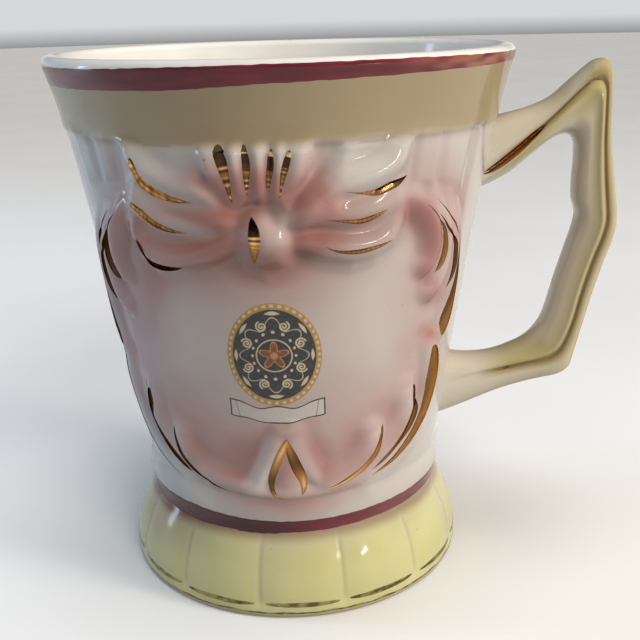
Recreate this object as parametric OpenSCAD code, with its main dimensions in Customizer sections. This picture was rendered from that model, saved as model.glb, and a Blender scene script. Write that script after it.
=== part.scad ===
// Footed porcelain mug with a moulded bow and scroll cartouche on both sides, an angular handle
// on +X and fired-on gilding. The foot stands on z = 0 and the mug's axis is Z. The front is -Y.

/* [Cup] */
// Height of the whole mug
mug_h = 117; // [108:1:126]
// Outside diameter at the rim
rim_d = 100; // [94:1:106]
// Outside diameter of the wall just under the collar
shoulder_d = 92.6; // [88:0.2:93]
// Outside diameter of the wall just above the waist bead
neck_d = 68.6; // [65:0.2:70]
// How far the middle of the wall is drawn in from a straight cone
wall_hollow = 0.3; // [0:0.1:1]
// Thickness of the cast wall
wall_t = 3.2; // [2.6:0.1:3.8]
// Thickness of the cup's floor
floor_t = 5; // [4:0.5:7]
// Radius of the rounding between the floor and the inside of the wall
floor_fillet = 4; // [2:0.5:6]
// Height of the flared collar, from the shoulder to the rim
collar_h = 15; // [12:0.5:18]
// How far the collar's lower edge stands out over the wall
collar_step = 0.7; // [0.4:0.1:1.2]
// Height of the rounded lip
lip_h = 1.6; // [1:0.1:2.2]

/* [Relief] */
// Height of the boldest relief, the knot of the bow
relief_h = 4.3; // [2:0.1:5]
// Height of the bead at the bottom of the cup
bead_h = 7; // [5:0.5:9]
// How far the bead stands out
bead_out = 0.6; // [0.2:0.1:1.2]

/* [Foot] */
// Height of the foot, up to the cup's underside
foot_h = 20; // [16:0.5:24]
// Outside diameter of the foot where it is widest
foot_d = 78.4; // [74:0.2:84]
// Height of the straight neck between the foot's bell and the cup
foot_neck_h = 2; // [1:0.1:3]
// Height of the plain rim that the foot stands on
foot_rim_h = 2; // [1:0.1:3]
// Thickness of the foot's wall
foot_t = 3.2; // [2.4:0.1:4]
// Width of the inner flange that carries the cup
flange_w = 6.5; // [4:0.5:9]
// Thickness of that flange
flange_t = 2.5; // [1.5:0.1:4]
// Number of pleats round the foot
pleats = 13; // [8:1:18]
// Radius of the groove between two pleats
pleat_r = 1.5; // [1:0.1:2.5]
// Depth of that groove
pleat_depth = 0.45; // [0.2:0.05:0.8]

/* [Handle] */
// How far the handle's sizes reach out from the wall
handle_out = 34; // [30:0.5:40]
// Height of the handle's lowest point at the wall
handle_z = 31; // [29:0.5:33]
// How far the handle's peak stays below the rim
handle_drop = 4; // [2:0.5:8]
// Thickness of the handle across its sides
handle_w = 11.5; // [9:0.5:14]
// Extra thickness where the handle meets the wall
root_flare = 2.5; // [0:0.5:4]
// Depth of the groove along the handle's sides
groove_depth = 1.1; // [0.4:0.1:1.6]

/* [Decoration] */
// Thickness of the fired-on enamel and print
enamel_t = 0.15; // [0.1:0.05:0.3]
// Thickness of the raised gold strokes
gold_t = 0.25; // [0.15:0.05:0.4]
// Width of the maroon band under the rim
rim_band_w = 4.4; // [2:0.2:7]
// Distance from the rim down to that band
rim_band_drop = 1.6; // [1.6:0.1:4]
// Width of the maroon band over the waist joint
waist_band_w = 3.1; // [2:0.1:4.6]
// Width of the printed medallion on the front
print_w = 19; // [14:0.5:26]
// Height of the printed medallion
print_h = 23; // [16:0.5:28]
// Width of the blank ribbon under the medallion
ribbon_w = 21; // [16:0.5:28]
// Height of the blank ribbon
ribbon_h = 4.6; // [3:0.1:7]

/* [Hidden] */

// The plain wall, from the top of the bead to the shoulder
neck_r = neck_d / 2;
shoulder_r = shoulder_d / 2;
rim_r = rim_d / 2;
panel_z = foot_h + bead_h;
shoulder_z = mug_h - collar_h;
panel_h = shoulder_z - panel_z;
function wall_r(z) = let (s = (z - panel_z) / panel_h)
    neck_r + (shoulder_r - neck_r) * s - 4 * wall_hollow * s * (1 - s);

// The flared collar, between its lower edge and the lip
collar_edge_z = shoulder_z + collar_step;
lip_z = mug_h - lip_h;
collar_r = shoulder_r + collar_step;
function collar_at(z) = collar_r + (rim_r - collar_r) * (z - collar_edge_z) / (lip_z - collar_edge_z);

// Columns of the wall's grid: each panel covers panel_arc on its side, centred on -Y and +Y, and
// the rest of the wall, at the handle and across from it, is plain
panel_arc = 140;
panel_cols = 46;
seam_cols = 4;
half_cols = [
    for (i = [0:panel_cols - 1]) -panel_arc / 2 + panel_arc * i / panel_cols,
    for (i = [0:seam_cols - 1]) panel_arc / 2 + (180 - panel_arc) * i / seam_cols
];
cols = [for (side = [0, 180]) for (u = half_cols) u + side];
front = -90;

// Rows of the grid up the panel as [number of rows, share of panel_h where they end]: those
// through the bow are the closest
row_shares = [[12, 0.4], [7, 0.66], [17, 1]];
rows = [
    for (i = [0:len(row_shares) - 1]) let (from = i > 0 ? row_shares[i - 1][1] : 0)
        for (j = [0:row_shares[i][0] - 1])
            panel_z + panel_h * (from + (row_shares[i][1] - from) * j / row_shares[i][0]),
    shoulder_z
];

// Moulded ridges. Each row is [height, half width, places], with the height as a share of
// relief_h, the half width as a share of panel_h, and each place as degrees from the panel's
// centre and height up the panel as a share of panel_h
fan_shares = [
    [0.56, 0.031, [[-11.6, 1.015], [-8.6, 0.865]]],
    [0.56, 0.029, [[-6.4, 1.02], [-5.9, 0.855]]],
    [0.56, 0.029, [[-1.5, 1.02], [-1.7, 0.855]]],
    [0.56, 0.029, [[3, 1.02], [1.7, 0.855]]],
    [0.6, 0.032, [[7.4, 1.015], [4.6, 0.865]]]
];
knot_shares = [
    [1, 0.086, [[-0.9, 0.795], [0.3, 0.785]]]
];
wing_shares = [
    [0.65, 0.044, [[6, 0.855], [14, 0.905], [22, 0.91], [28, 0.935], [31, 0.98]]],
    [0.63, 0.039, [[6, 0.815], [14, 0.835], [22, 0.835], [27.5, 0.85], [30.5, 0.875]]],
    [0.72, 0.047, [[6, 0.775], [14, 0.77], [22, 0.755], [28, 0.775], [31, 0.82]]],
    [0.5, 0.027, [[31, 0.98], [31.8, 0.895], [31, 0.82]]],
    [0.65, 0.044, [[-8, 0.86], [-16, 0.905], [-24, 0.92], [-29, 0.955], [-31.5, 1]]],
    [0.63, 0.039, [[-8, 0.82], [-16, 0.83], [-24, 0.835], [-29.5, 0.86], [-32.5, 0.9]]],
    [0.72, 0.047, [[-8, 0.78], [-16, 0.75], [-24, 0.73], [-30, 0.74], [-33.5, 0.795]]]
];
lappet_shares = [
    [0.3, 0.07, [[38, 0.88], [38, 0.985]]],
    [0.23, 0.08, [[51.5, 0.915], [51.5, 0.985]]],
    [0.3, 0.067, [[-39, 0.905], [-39.5, 0.985]]],
    [0.23, 0.08, [[-52, 0.92], [-52, 0.985]]]
];
scroll_shares = [
    [0.56, 0.053, [[35.5, 0.8], [40, 0.785], [43.5, 0.735], [44.3, 0.68], [42.5, 0.645]]],
    [0.49, 0.045, [[42, 0.815], [48, 0.745], [50.6, 0.68], [50, 0.615], [45.5, 0.565]]],
    [0.44, 0.044, [[50, 0.775], [55, 0.695], [57.3, 0.615], [57.6, 0.535], [55.5, 0.46]]],
    [0.56, 0.051, [[-36.5, 0.815], [-43, 0.78], [-47.5, 0.72], [-49.3, 0.66], [-47, 0.615]]],
    [0.51, 0.045, [[-50, 0.76], [-57, 0.665], [-59.5, 0.585], [-56, 0.535], [-51, 0.52]]],
    [0.53, 0.048, [[-60, 0.695], [-65.5, 0.585], [-66.5, 0.5], [-63, 0.42]]]
];
leaf_shares = [
    [0.53, 0.044, [[49.8, 0.385], [54, 0.335], [54.2, 0.275], [50.5, 0.2], [44, 0.13], [29, 0.045]]],
    [0.47, 0.053, [[40, 0.285], [41.5, 0.22], [39, 0.155], [33, 0.08]]],
    [0.47, 0.056, [[29.5, 0.205], [30, 0.155], [27, 0.1], [20, 0.055]]],
    [0.53, 0.047, [[-59, 0.345], [-62.5, 0.275], [-60, 0.2], [-54, 0.125], [-45, 0.065]]],
    [0.47, 0.051, [[-46, 0.255], [-47.5, 0.195], [-45, 0.14], [-39, 0.085]]],
    [0.47, 0.056, [[-35.5, 0.19], [-36.3, 0.14], [-33, 0.09], [-25, 0.045]]]
];
cusp_shares = [
    [0.4, 0.035, [[-26, 0.035], [-14, 0.025], [-8, 0.055], [-3.6, 0.125], [1, 0.2]]],
    [0.4, 0.035, [[28, 0.035], [16, 0.025], [10, 0.055], [6, 0.125], [1.6, 0.2]]],
    [0.33, 0.027, [[-14, 0.025], [0, 0.01], [16, 0.025]]],
    [0.37, 0.02, [[1.5, 0.19], [-0.9, 0.145], [-3.9, 0.095], [-4.8, 0.045], [-2.9, 0.015]]],
    [0.37, 0.02, [[1.7, 0.19], [2.9, 0.155], [5.4, 0.105], [6.6, 0.06], [5.3, 0.025]]]
];
ridge_shares = concat(
    fan_shares, knot_shares, wing_shares, lappet_shares, scroll_shares, leaf_shares, cusp_shares
);

// Gold strokes. Each row is [widest width, places], with the width as a share of panel_h and
// the places as above
bow_shares = [
    [0.03, [[-9.2, 1.015], [-8.8, 0.965], [-7.6, 0.865]]],
    [0.02, [[-4, 1.015], [-4, 0.96], [-4.2, 0.885]]],
    [0.019, [[1.4, 1.005], [1, 0.95], [0.5, 0.885]]],
    [0.02, [[4.9, 0.995], [4.2, 0.95], [2.9, 0.88]]],
    [0.032, [[-3.2, 0.85], [-2.9, 0.78], [-3, 0.72]]],
    [0.025, [[-32.4, 0.975], [-31.4, 0.94], [-28.5, 0.915], [-24.1, 0.885], [-16.5, 0.87]]],
    [0.021, [[-33.5, 0.865], [-31.8, 0.84], [-28.4, 0.81], [-24, 0.795], [-18.7, 0.79]]],
    [0.021, [[-34.5, 0.76], [-33.8, 0.73], [-31.3, 0.7], [-27.5, 0.69], [-23, 0.7]]],
    [0.023, [[16.4, 0.89], [23.2, 0.88], [27.7, 0.89], [31, 0.92]]],
    [0.017, [[12.7, 0.82], [18.6, 0.81], [24, 0.82], [27.4, 0.835]]],
    [0.016, [[12.2, 0.755], [18.6, 0.735], [24, 0.735], [29, 0.755]]]
];
curl_shares = [
    [0.025, [[42.6, 0.77], [46, 0.72], [47.2, 0.68], [45.2, 0.635]]],
    [0.025, [[38.3, 0.835], [47.8, 0.755], [53.1, 0.675], [53.2, 0.6], [51, 0.575]]],
    [0.016, [[43.6, 0.835], [52.3, 0.75], [58, 0.665], [61.3, 0.56]]],
    [0.043, [[61.2, 0.515], [58.5, 0.475], [53.4, 0.445]]],
    [0.048, [[49.7, 0.4], [55.8, 0.295], [51, 0.195], [38, 0.085], [29.8, 0.05]]],
    [0.025, [[43.2, 0.305], [44.6, 0.225], [41, 0.17], [36, 0.13]]],
    [0.02, [[32.6, 0.21], [33.1, 0.165], [26.2, 0.07], [18.9, 0.035]]],
    [0.013, [[-43.5, 0.85], [-49.5, 0.78], [-58.4, 0.7]]],
    [0.024, [[-48.8, 0.76], [-54.1, 0.665], [-53.1, 0.63], [-48.8, 0.61]]],
    [0.025, [[-54.7, 0.71], [-63.5, 0.56], [-58.3, 0.535], [-51.5, 0.525]]],
    [0.029, [[-50.1, 0.285], [-51.7, 0.215], [-50.6, 0.16]]],
    [0.016, [[-40.2, 0.17], [-38.8, 0.095], [-30.9, 0.035], [-22.3, 0.015]]]
];
teardrop_shares = [
    [0.029, [[1.5, 0.19], [-0.9, 0.145], [-3.9, 0.095], [-4.8, 0.045], [-2.9, 0.015]]],
    [0.029, [[1.7, 0.185], [2.9, 0.155], [5.4, 0.105], [6.6, 0.06], [5.3, 0.025]]]
];

// A stroke's width at its two ends, as a share of its widest width
stroke_end_share = 0.12;
// Clear gap between a fired-on piece and the smooth cast surface that carries it
seat_gap = 0.03;
// The same between a gold stroke and the wall, whose grid bends a little less than the relief
relief_gap = 0.45;

// Distance from a point to the line between two others
function to_segment(p, a, b) = let (
        v = b - a,
        t = max(0, min(1, (p - a) * v / (v * v)))
    )
    norm(p - a - t * v);

// Height of one moulded ridge at a place on the panel, where k is millimetres per degree
near_share = 0.2;
function square_bump(t) = t < 1 ? pow(1 - t * t, 2) : 0;
function on_panel(place, k) = [place[0] * k, panel_z + place[1] * panel_h];
function ridge_rise(ridge, p, k) = let (
        reach = ridge[1] * panel_h,
        places = [for (place = ridge[2]) on_panel(place, k)],
        near = [for (place = places) if (norm(place - p) < reach + near_share * panel_h) 1]
    )
    len(near) == 0 ? 0 :
    let (gaps = [for (i = [1:len(places) - 1]) to_segment(p, places[i - 1], places[i])])
    ridge[0] * relief_h * square_bump(min(gaps) / reach);

// Height of the whole relief: ridges that meet run into each other softly
blend_power = 3;
function folded(u) = u > 90 ? u - 180 : u < -90 ? u + 180 : u;
function rise(u, z) = let (
        v = folded(u > 180 ? u - 360 : u),
        k = wall_r(z) * PI / 180,
        p = [v * k, z]
    )
    abs(v) > panel_arc / 2 ? 0 :
    pow([for (ridge = ridge_shares) pow(ridge_rise(ridge, p, k), blend_power)]
        * [for (ridge = ridge_shares) 1], 1 / blend_power);
function relief_r(u, z) = wall_r(z) + rise(u, z);

// Points on a ring, and the faces of a closed tube of rings with a fan at each end
function on_wall(r, u, z) = [r * cos(u + front), r * sin(u + front), z];
function tube_faces(rings, n) = concat(
    [[for (j = [0:n - 1]) j]],
    [for (i = [1:rings - 1]) for (j = [0:n - 1]) let (k = (j + 1) % n)
        each [[(i - 1) * n + j, i * n + j, i * n + k], [(i - 1) * n + j, i * n + k, (i - 1) * n + k]]],
    [[for (j = [n - 1:-1:0]) (rings - 1) * n + j]]
);

// Plain rings of the cup as [radius, height]: below the panel, above it, and down the inside
bead_steps = 3;
bead_rings = [for (i = [0:bead_steps - 1]) let (s = i / bead_steps)
    [neck_r + bead_out * sin(180 * s), foot_h + bead_h * s]];
lip_steps = 4;
collar_rings = concat(
    [[collar_r, collar_edge_z]],
    [for (i = [0:lip_steps]) let (a = 180 * i / lip_steps)
        [rim_r - wall_t / 2 + wall_t / 2 * cos(a), lip_z + lip_h * sin(a)]]
);
inside_z = foot_h + floor_t;
fillet_z = inside_z + floor_fillet;
fillet_r = wall_r(fillet_z) - wall_t;
fillet_steps = 2;
inside_rings = [
    [shoulder_r - wall_t, shoulder_z],
    for (i = [0:fillet_steps]) let (a = 90 * i / fillet_steps)
        [fillet_r - floor_fillet * (1 - cos(a)), fillet_z - floor_fillet * sin(a)]
];

module cup_body() {
    below = [for (ring = bead_rings) [for (u = cols) on_wall(ring[0], u, ring[1])]];
    relief = [for (z = rows) [for (u = cols) on_wall(relief_r(u, z), u, z)]];
    above = [for (ring = concat(collar_rings, inside_rings))
        [for (u = cols) on_wall(ring[0], u, ring[1])]];
    rings = concat(below, relief, above);
    color("mistyrose")
    polyhedron([for (ring = rings) each ring], tube_faces(len(rings), len(cols)), convexity = 8);
}

// The foot is a bell turned from one arc, which leaves the plain rim upright and ends at the
// straight neck, with a groove between each two pleats
bell_count = 12;
foot_top_r = neck_r - bead_out / 2;
bell_in = foot_d / 2 - foot_top_r;
bell_h = foot_h - foot_neck_h - foot_rim_h;
function bell_radius(h) = (pow(bell_in, 2) + pow(h, 2)) / (2 * bell_in);
bell_r = bell_radius(bell_h);
bell_x = foot_d / 2 - bell_r;
bell_top_z = foot_rim_h + bell_h;
bell_top_angle = asin(bell_h / bell_r);
function foot_r(z) = z < bell_top_z
    ? bell_x + sqrt(pow(bell_r, 2) - pow(z - foot_rim_h, 2))
    : foot_top_r + (neck_r - foot_top_r) * (z - bell_top_z) / foot_neck_h;
foot_edge_share = 0.33;
foot_edge = foot_rim_h * foot_edge_share;
function bell(r, a) = [bell_x + r * cos(a), foot_rim_h + r * sin(a)];
inner_h = foot_h - flange_t - foot_rim_h;
inner_r = bell_radius(inner_h);
inner_x = foot_d / 2 - foot_t - inner_r;
inner_top_angle = asin(inner_h / inner_r);
foot_outline = concat(
    [[foot_d / 2 - foot_t, 0], [foot_d / 2 - foot_edge, 0], [foot_d / 2, foot_edge]],
    [for (i = [0:bell_count]) bell(bell_r, bell_top_angle * i / bell_count)],
    [[neck_r, foot_h], [neck_r - flange_w, foot_h], [neck_r - flange_w, foot_h - flange_t]],
    [for (i = [bell_count:-1:0]) let (a = inner_top_angle * i / bell_count)
        [inner_x + inner_r * cos(a), foot_rim_h + inner_r * sin(a)]]
);
// Turns the first groove to the place between two pleats near the middle of the front
first_pleat_angle = -9;
// Degrees that a groove's cut runs on below the bell
overrun_angle = 2;

module pleat_groove() {
    translate([bell_x, 0, foot_rim_h]) rotate([90, 0, 0])
    rotate_extrude(angle = bell_top_angle + overrun_angle, start = -overrun_angle)
    translate([bell_r + pleat_r - pleat_depth, 0]) circle(pleat_r, $fn = 24);
}

module foot_skirt() {
    color("darkkhaki")
    difference() {
        rotate_extrude($fn = 180) polygon(foot_outline);
        for (i = [0:pleats - 1]) rotate(front + first_pleat_angle + 360 * i / pleats) pleat_groove();
    }
}

// Sections of the handle from the upper root round to the lower root. Each row is [inner place,
// outer place, groove], where a place is [distance out from the wall as a share of handle_out,
// height as a share of handle_h] and the groove lies at a share of the way from inner to outer
handle_shares = [
    [[-0.095, 0.65], [-0.09, 0.845], 0.25],
    [[0.025, 0.675], [0.045, 0.86], 0.28],
    [[0.16, 0.705], [0.165, 0.875], 0.4],
    [[0.265, 0.745], [0.275, 0.89], 0.5],
    [[0.35, 0.78], [0.365, 0.91], 0.58],
    [[0.425, 0.8], [0.44, 0.945], 0.64],
    [[0.48, 0.805], [0.515, 0.98], 0.7],
    [[0.51, 0.805], [0.57, 1], 0.74],
    [[0.54, 0.8], [0.635, 1], 0.76],
    [[0.555, 0.785], [0.685, 0.98], 0.75],
    [[0.575, 0.77], [0.72, 0.925], 0.73],
    [[0.59, 0.73], [0.775, 0.815], 0.72],
    [[0.605, 0.685], [0.85, 0.715], 0.7],
    [[0.63, 0.635], [0.91, 0.635], 0.69],
    [[0.675, 0.59], [0.95, 0.575], 0.66],
    [[0.675, 0.55], [0.955, 0.525], 0.63],
    [[0.645, 0.445], [0.91, 0.405], 0.62],
    [[0.615, 0.335], [0.885, 0.29], 0.64],
    [[0.6, 0.29], [0.875, 0.23], 0.62],
    [[0.575, 0.265], [0.865, 0.185], 0.58],
    [[0.535, 0.24], [0.85, 0.145], 0.5],
    [[0.48, 0.225], [0.79, 0.125], 0.44],
    [[0.415, 0.21], [0.67, 0.115], 0.4],
    [[0.33, 0.195], [0.525, 0.1], 0.36],
    [[0.23, 0.185], [0.385, 0.08], 0.34],
    [[0.13, 0.185], [0.25, 0.055], 0.35],
    [[0.025, 0.19], [0.095, 0.025], 0.38],
    [[-0.095, 0.195], [-0.055, 0], 0.4]
];
handle_n = len(handle_shares);
handle_h = mug_h - handle_drop - handle_z;
function handle_place(place) = let (z = handle_z + place[1] * handle_h)
    [wall_r(z) + place[0] * handle_out, z];

// Half thickness of a section at its ends, where it flares into the wall
root_share = 0.2;
function half_w(i) = let (
        t = i / (handle_n - 1),
        s = max(0, 1 - min(t, 1 - t) / root_share)
    )
    (handle_w + root_flare * s * s) / 2;
// The groove fades out over this number of sections towards both roots
fade_count = 4;
function groove_at(i) = groove_depth * min(1, min(i, handle_n - 1 - i) / fade_count);

// One side of a section. The first table runs from the inner edge to the groove and the second
// one from the groove to the outer edge. Each row is [share of that way, share of the half
// thickness, share of the groove's depth taken off]
inner_side_shares = [[0, 0.3, 0], [0.17, 0.68, 0], [0.5, 0.92, 0], [0.8, 1, 0], [0.93, 1, 0.4], [1, 1, 1.2]];
outer_side_shares = [[0.16, 1, 0.7], [0.5, 0.86, 0.2], [0.89, 0.6, 0], [1, 0.22, 0]];
function side_outline(i, c) = let (w = half_w(i), g = groove_at(i)) concat(
    [for (s = inner_side_shares) [c * s[0], w * s[1] - g * s[2]]],
    [for (s = outer_side_shares) [c + (1 - c) * s[0], w * s[1] - g * s[2]]]
);
function section(i) = let (
        row = handle_shares[i],
        inner = handle_place(row[0]),
        outer = handle_place(row[1]),
        side = side_outline(i, row[2]),
        n = len(side)
    )
    [for (j = [0:2 * n - 1]) let (
            s = side[j < n ? j : 2 * n - 1 - j],
            p = inner + (outer - inner) * s[0]
        )
        [p[0], j < n ? s[1] : -s[1], p[1]]];

// The plain wall without its bead or relief, which the handle's ends and seats are cut to
module wall_core(grow) {
    steps = 12;
    rotate_extrude($fn = 180)
    polygon(concat(
        [[0, panel_z]],
        [for (i = [0:steps]) let (z = panel_z + panel_h * i / steps) [wall_r(z) + grow, z]],
        [[collar_r + grow, shoulder_z], [collar_r + grow, mug_h], [0, mug_h]]
    ));
}

module handle() {
    sections = [for (i = [0:handle_n - 1]) section(i)];
    color("beige")
    difference() {
        polyhedron([for (ring = sections) each ring], tube_faces(handle_n, len(sections[0])), convexity = 6);
        wall_core(seat_gap);
    }
}

module rim_band() {
    top_z = lip_z - (rim_band_drop - lip_h);
    low_z = top_z - rim_band_w;
    color("brown")
    rotate_extrude($fn = 180)
    polygon([for (p = [[low_z, 0], [low_z, enamel_t], [top_z, enamel_t], [top_z, 0]])
        [collar_at(p[0]) + seat_gap + p[1], p[0]]]);
}

module waist_band() {
    low_z = foot_h - waist_band_w / 2;
    top_z = foot_h + waist_band_w / 2;
    top_r = neck_r + bead_out * sin(180 * (top_z - foot_h) / bead_h);
    line = concat(
        [[foot_r(low_z), low_z]],
        low_z < bell_top_z ? [[foot_top_r, bell_top_z]] : [],
        [[neck_r, foot_h], [top_r, top_z]]
    );
    color("brown")
    rotate_extrude($fn = 180)
    polygon(concat(
        [for (p = line) [p[0] + seat_gap, p[1]]],
        [for (i = [len(line) - 1:-1:0]) [line[i][0] + seat_gap + enamel_t, line[i][1]]]
    ));
}

// A gold stroke: a strip that follows its places with a point at each end and lies on the relief
stroke_step_count = 2;
taper_power = 0.8;
function curve_at(pts, s) = let (
        n = len(pts) - 1,
        i = min(n - 1, floor(s * n)),
        t = s * n - i,
        b = pts[i],
        c = pts[i + 1],
        a = i > 0 ? pts[i - 1] : 2 * b - c,
        d = i < n - 1 ? pts[i + 2] : 2 * c - b
    )
    b + t * ((c - a) / 2 + t * (a - 2.5 * b + 2 * c - d / 2 + t * (1.5 * (b - c) + (d - a) / 2)));

module stroke(row, side) {
    n = stroke_step_count * (len(row[1]) - 1);
    k = wall_r(panel_z + panel_h / 2) * PI / 180;
    mid = [for (i = [0:n]) on_panel(curve_at(row[1], i / n), k)];
    stations = [for (i = [0:n]) let (
            along = mid[min(n, i + 1)] - mid[max(0, i - 1)],
            across = [-along[1], along[0]] / norm(along),
            w = row[0] * panel_h / 2 * max(stroke_end_share, pow(sin(180 * i / n), taper_power))
        )
        [for (edge = [-w, w]) let (q = mid[i] + edge * across) [q[0] / k, q[1]]]];
    points = [for (s = stations)
        each [for (e = [[0, 0], [1, 0], [1, gold_t], [0, gold_t]]) let (q = s[e[0]])
            on_wall(relief_r(q[0], q[1]) + relief_gap + e[1], q[0] + side, q[1])]];
    polyhedron(points, tube_faces(n + 1, 4), convexity = 4);
}

module strokes(rows) {
    for (side = [0, 180]) for (row = rows) stroke(row, side);
}

module bow_gilding() {
    color("goldenrod") strokes(bow_shares);
}

module scroll_gilding() {
    color("goldenrod") strokes(curl_shares);
}

module pendant_gilding() {
    color("goldenrod") strokes(teardrop_shares);
}

// A gold line on each side of the handle, along the outer edge from its back corner down to the
// lower root
line_from_index = 15;
line_place_share = 0.9;
line_width_share = 0.06;
line_seat_share = 0.75;
module handle_gilding() {
    half_line = handle_w * line_width_share;
    ids = [line_from_index:handle_n - 2];
    color("goldenrod")
    for (side = [0, 1]) mirror([0, side, 0])
    polyhedron(
        [for (i = ids) let (
                inner = handle_place(handle_shares[i][0]),
                outer = handle_place(handle_shares[i][1]),
                dir = (outer - inner) / norm(outer - inner),
                y = half_w(i) * line_seat_share + seat_gap
            )
            each [for (e = [[1, 0], [-1, 0], [-1, gold_t], [1, gold_t]])
                let (p = inner + (outer - inner) * line_place_share + dir * e[0] * half_line)
                [p[0], y + e[1], p[1]]]],
        tube_faces(handle_n - 1 - line_from_index, 4),
        convexity = 4
    );
}

// Worn gold dashes near the foot's edge, one on each pleat, with the height in degrees of the bell
dash_length_share = 0.86;
dash_angle = 4;
dash_from_angle = 0.5;
module foot_gilding() {
    dash_arc = dash_length_share * 360 / pleats;
    color("darkkhaki")
    for (i = [0:pleats - 1])
    rotate(front + first_pleat_angle + 360 * (i + 0.5) / pleats - dash_arc / 2)
    rotate_extrude(angle = dash_arc, $fn = 180)
    polygon([for (p = [[0, 0], [0, enamel_t], [dash_angle, enamel_t], [dash_angle, 0]])
        bell(bell_r + seat_gap + p[1], dash_from_angle + p[0])]);
}

// The printed film on the front: an oval medallion whose foot runs into a blank ribbon
ribbon_drop_share = 0.75;
print_place_share = 0.447;
print_z = panel_z + panel_h * print_place_share;
module print_outline() {
    translate([0, print_z]) scale([print_w / print_h, 1]) circle(print_h / 2, $fn = 60);
    translate([-ribbon_w / 2, print_z - print_h / 2 - ribbon_h * ribbon_drop_share])
    square([ribbon_w, ribbon_h]);
}

module front_print() {
    color("saddlebrown")
    intersection() {
        difference() {
            wall_core(seat_gap + enamel_t);
            wall_core(seat_gap);
        }
        rotate([90, 0, 0]) linear_extrude(rim_r) print_outline();
    }
}

cup_body();
foot_skirt();
handle();
rim_band();
waist_band();
bow_gilding();
scroll_gilding();
pendant_gilding();
handle_gilding();
foot_gilding();
front_print();
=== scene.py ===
import math

import bpy
import numpy as np
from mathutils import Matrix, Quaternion, Vector


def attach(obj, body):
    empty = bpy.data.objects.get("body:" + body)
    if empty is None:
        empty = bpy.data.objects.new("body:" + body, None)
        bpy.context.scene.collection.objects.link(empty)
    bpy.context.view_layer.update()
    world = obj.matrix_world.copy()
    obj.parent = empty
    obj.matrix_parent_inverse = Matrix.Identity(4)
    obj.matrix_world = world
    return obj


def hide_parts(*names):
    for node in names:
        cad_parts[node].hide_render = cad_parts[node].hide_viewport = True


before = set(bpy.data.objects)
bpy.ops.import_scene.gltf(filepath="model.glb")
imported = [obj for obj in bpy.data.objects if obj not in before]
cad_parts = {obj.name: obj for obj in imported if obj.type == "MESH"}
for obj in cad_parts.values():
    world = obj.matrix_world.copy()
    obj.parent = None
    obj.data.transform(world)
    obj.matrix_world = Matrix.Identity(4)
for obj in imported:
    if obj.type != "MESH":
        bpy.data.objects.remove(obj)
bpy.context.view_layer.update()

# Sizes are in millimetres and angles in degrees. The mug's axis is Z, the handle is on +X and the
# printed front is -Y. A place on the wall is (u, z): u is measured from the middle of the front
# towards the handle, and the back repeats the front, half a turn on.
MM = 0.001
FRONT = -90
SIDES = (0, 180)

# The cup's wall, from the top of the waist bead to the shoulder under the collar
FOOT_H, PANEL_Z, SHOULDER_Z, LIP_Z, MUG_H = 20, 27, 102, 115.4, 117
NECK_R, SHOULDER_R, RIM_R = 34.3, 46.3, 50
WALL_HOLLOW, WALL_T, BEAD_OUT = 0.3, 3.2, 0.6
FLOOR_Z, FLOOR_FILLET = 25, 4
# The cup's outside as (radius, height), where the wall turns into the soft roll of the collar
COLLAR = [
    (46.25, 101.2), (46.45, 101.9), (46.85, 102.5), (47.05, 103.4), (47.4, 105.5), (48.3, 109.2),
    (50, 115.4)]

# The foot's bell
FOOT_R, FOOT_RIM_H, FOOT_TOP_R, FOOT_NECK_H, FOOT_T = 39.2, 2, 34, 2, 3.2
FLANGE_W, FLANGE_T = 6.5, 2.5
PLEATS, FIRST_PLEAT = 13, -9

# Fineness of the meshes
STEPS_ROUND, ROW_STEP = 540, 0.45
AROUND = np.arange(STEPS_ROUND) * 360 / STEPS_ROUND

# Sine waves that make up soft noise
NOISE_WAVES = 7

# Thickness of the paint and of the gold at the middle of a stroke
ENAMEL_T, GOLD_T = 0.07, 0.2

# The camera stands where the photo was taken
CAMERA_PLACE = (14.83, -212.09, 124.73)
CAMERA_AIM = (-0.03436, 0.94910, -0.31311)
CAMERA_ROLL, CAMERA_LENS, SENSOR_WIDTH = -0.0261, 53.21, 36
# What it sees lies between these, in metres
NEAREST, FARTHEST = 0.005, 20


# Curves and soft steps

def spline(points, count):
    """A smooth curve through the points, as count places along it."""
    p = np.array(points, float)
    p = np.vstack([2 * p[0] - p[1], p, 2 * p[-1] - p[-2]])
    s = np.linspace(0, len(p) - 3, count)
    i = np.minimum(s.astype(int), len(p) - 4)
    t = (s - i)[:, None]
    a, b, c, d = p[i], p[i + 1], p[i + 2], p[i + 3]
    return b + t / 2 * (c - a + t * (2 * a - 5 * b + 4 * c - d + t * (3 * (b - c) + d - a)))


def fade(x, low, high):
    """0 up to low, 1 from high on, and soft between."""
    t = np.clip((x - low) / (high - low), 0, 1)
    return t * t * (3 - 2 * t)


def bell(x, width):
    """1 at 0, and about a third at the width."""
    return np.exp(-((x / width) ** 2))


def noise(u, z, scale, seed):
    """Soft noise round the wall from a few sine waves, about -1 to 1."""
    rng = np.random.default_rng(seed)
    total = 0
    for _ in range(NOISE_WAVES):
        turns = rng.integers(1, max(2, int(360 / scale)))
        rise = rng.uniform(-1, 1) * 2 * math.pi / (scale * 0.7)
        total = total + np.sin(np.radians(u) * turns + z * rise + rng.uniform(0, 6.3))
    return total / (NOISE_WAVES / 2)


# Places round the mug

def turned(u, r, z):
    """Places at radius r and height z, u degrees round from the front."""
    a = np.radians(np.asarray(u, float) + FRONT)
    return np.stack(np.broadcast_arrays(r * np.cos(a), r * np.sin(a), np.asarray(z, float)), -1)


def folded(u):
    """The same place on the front or the back panel, as an angle from -90 to 90."""
    return (np.asarray(u, float) + 90) % 180 - 90


def to_sides(u):
    """1 on the front and the back, and 0 where they meet at the sides."""
    return 1 - fade(np.abs(folded(u)), 68, 86)


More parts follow.
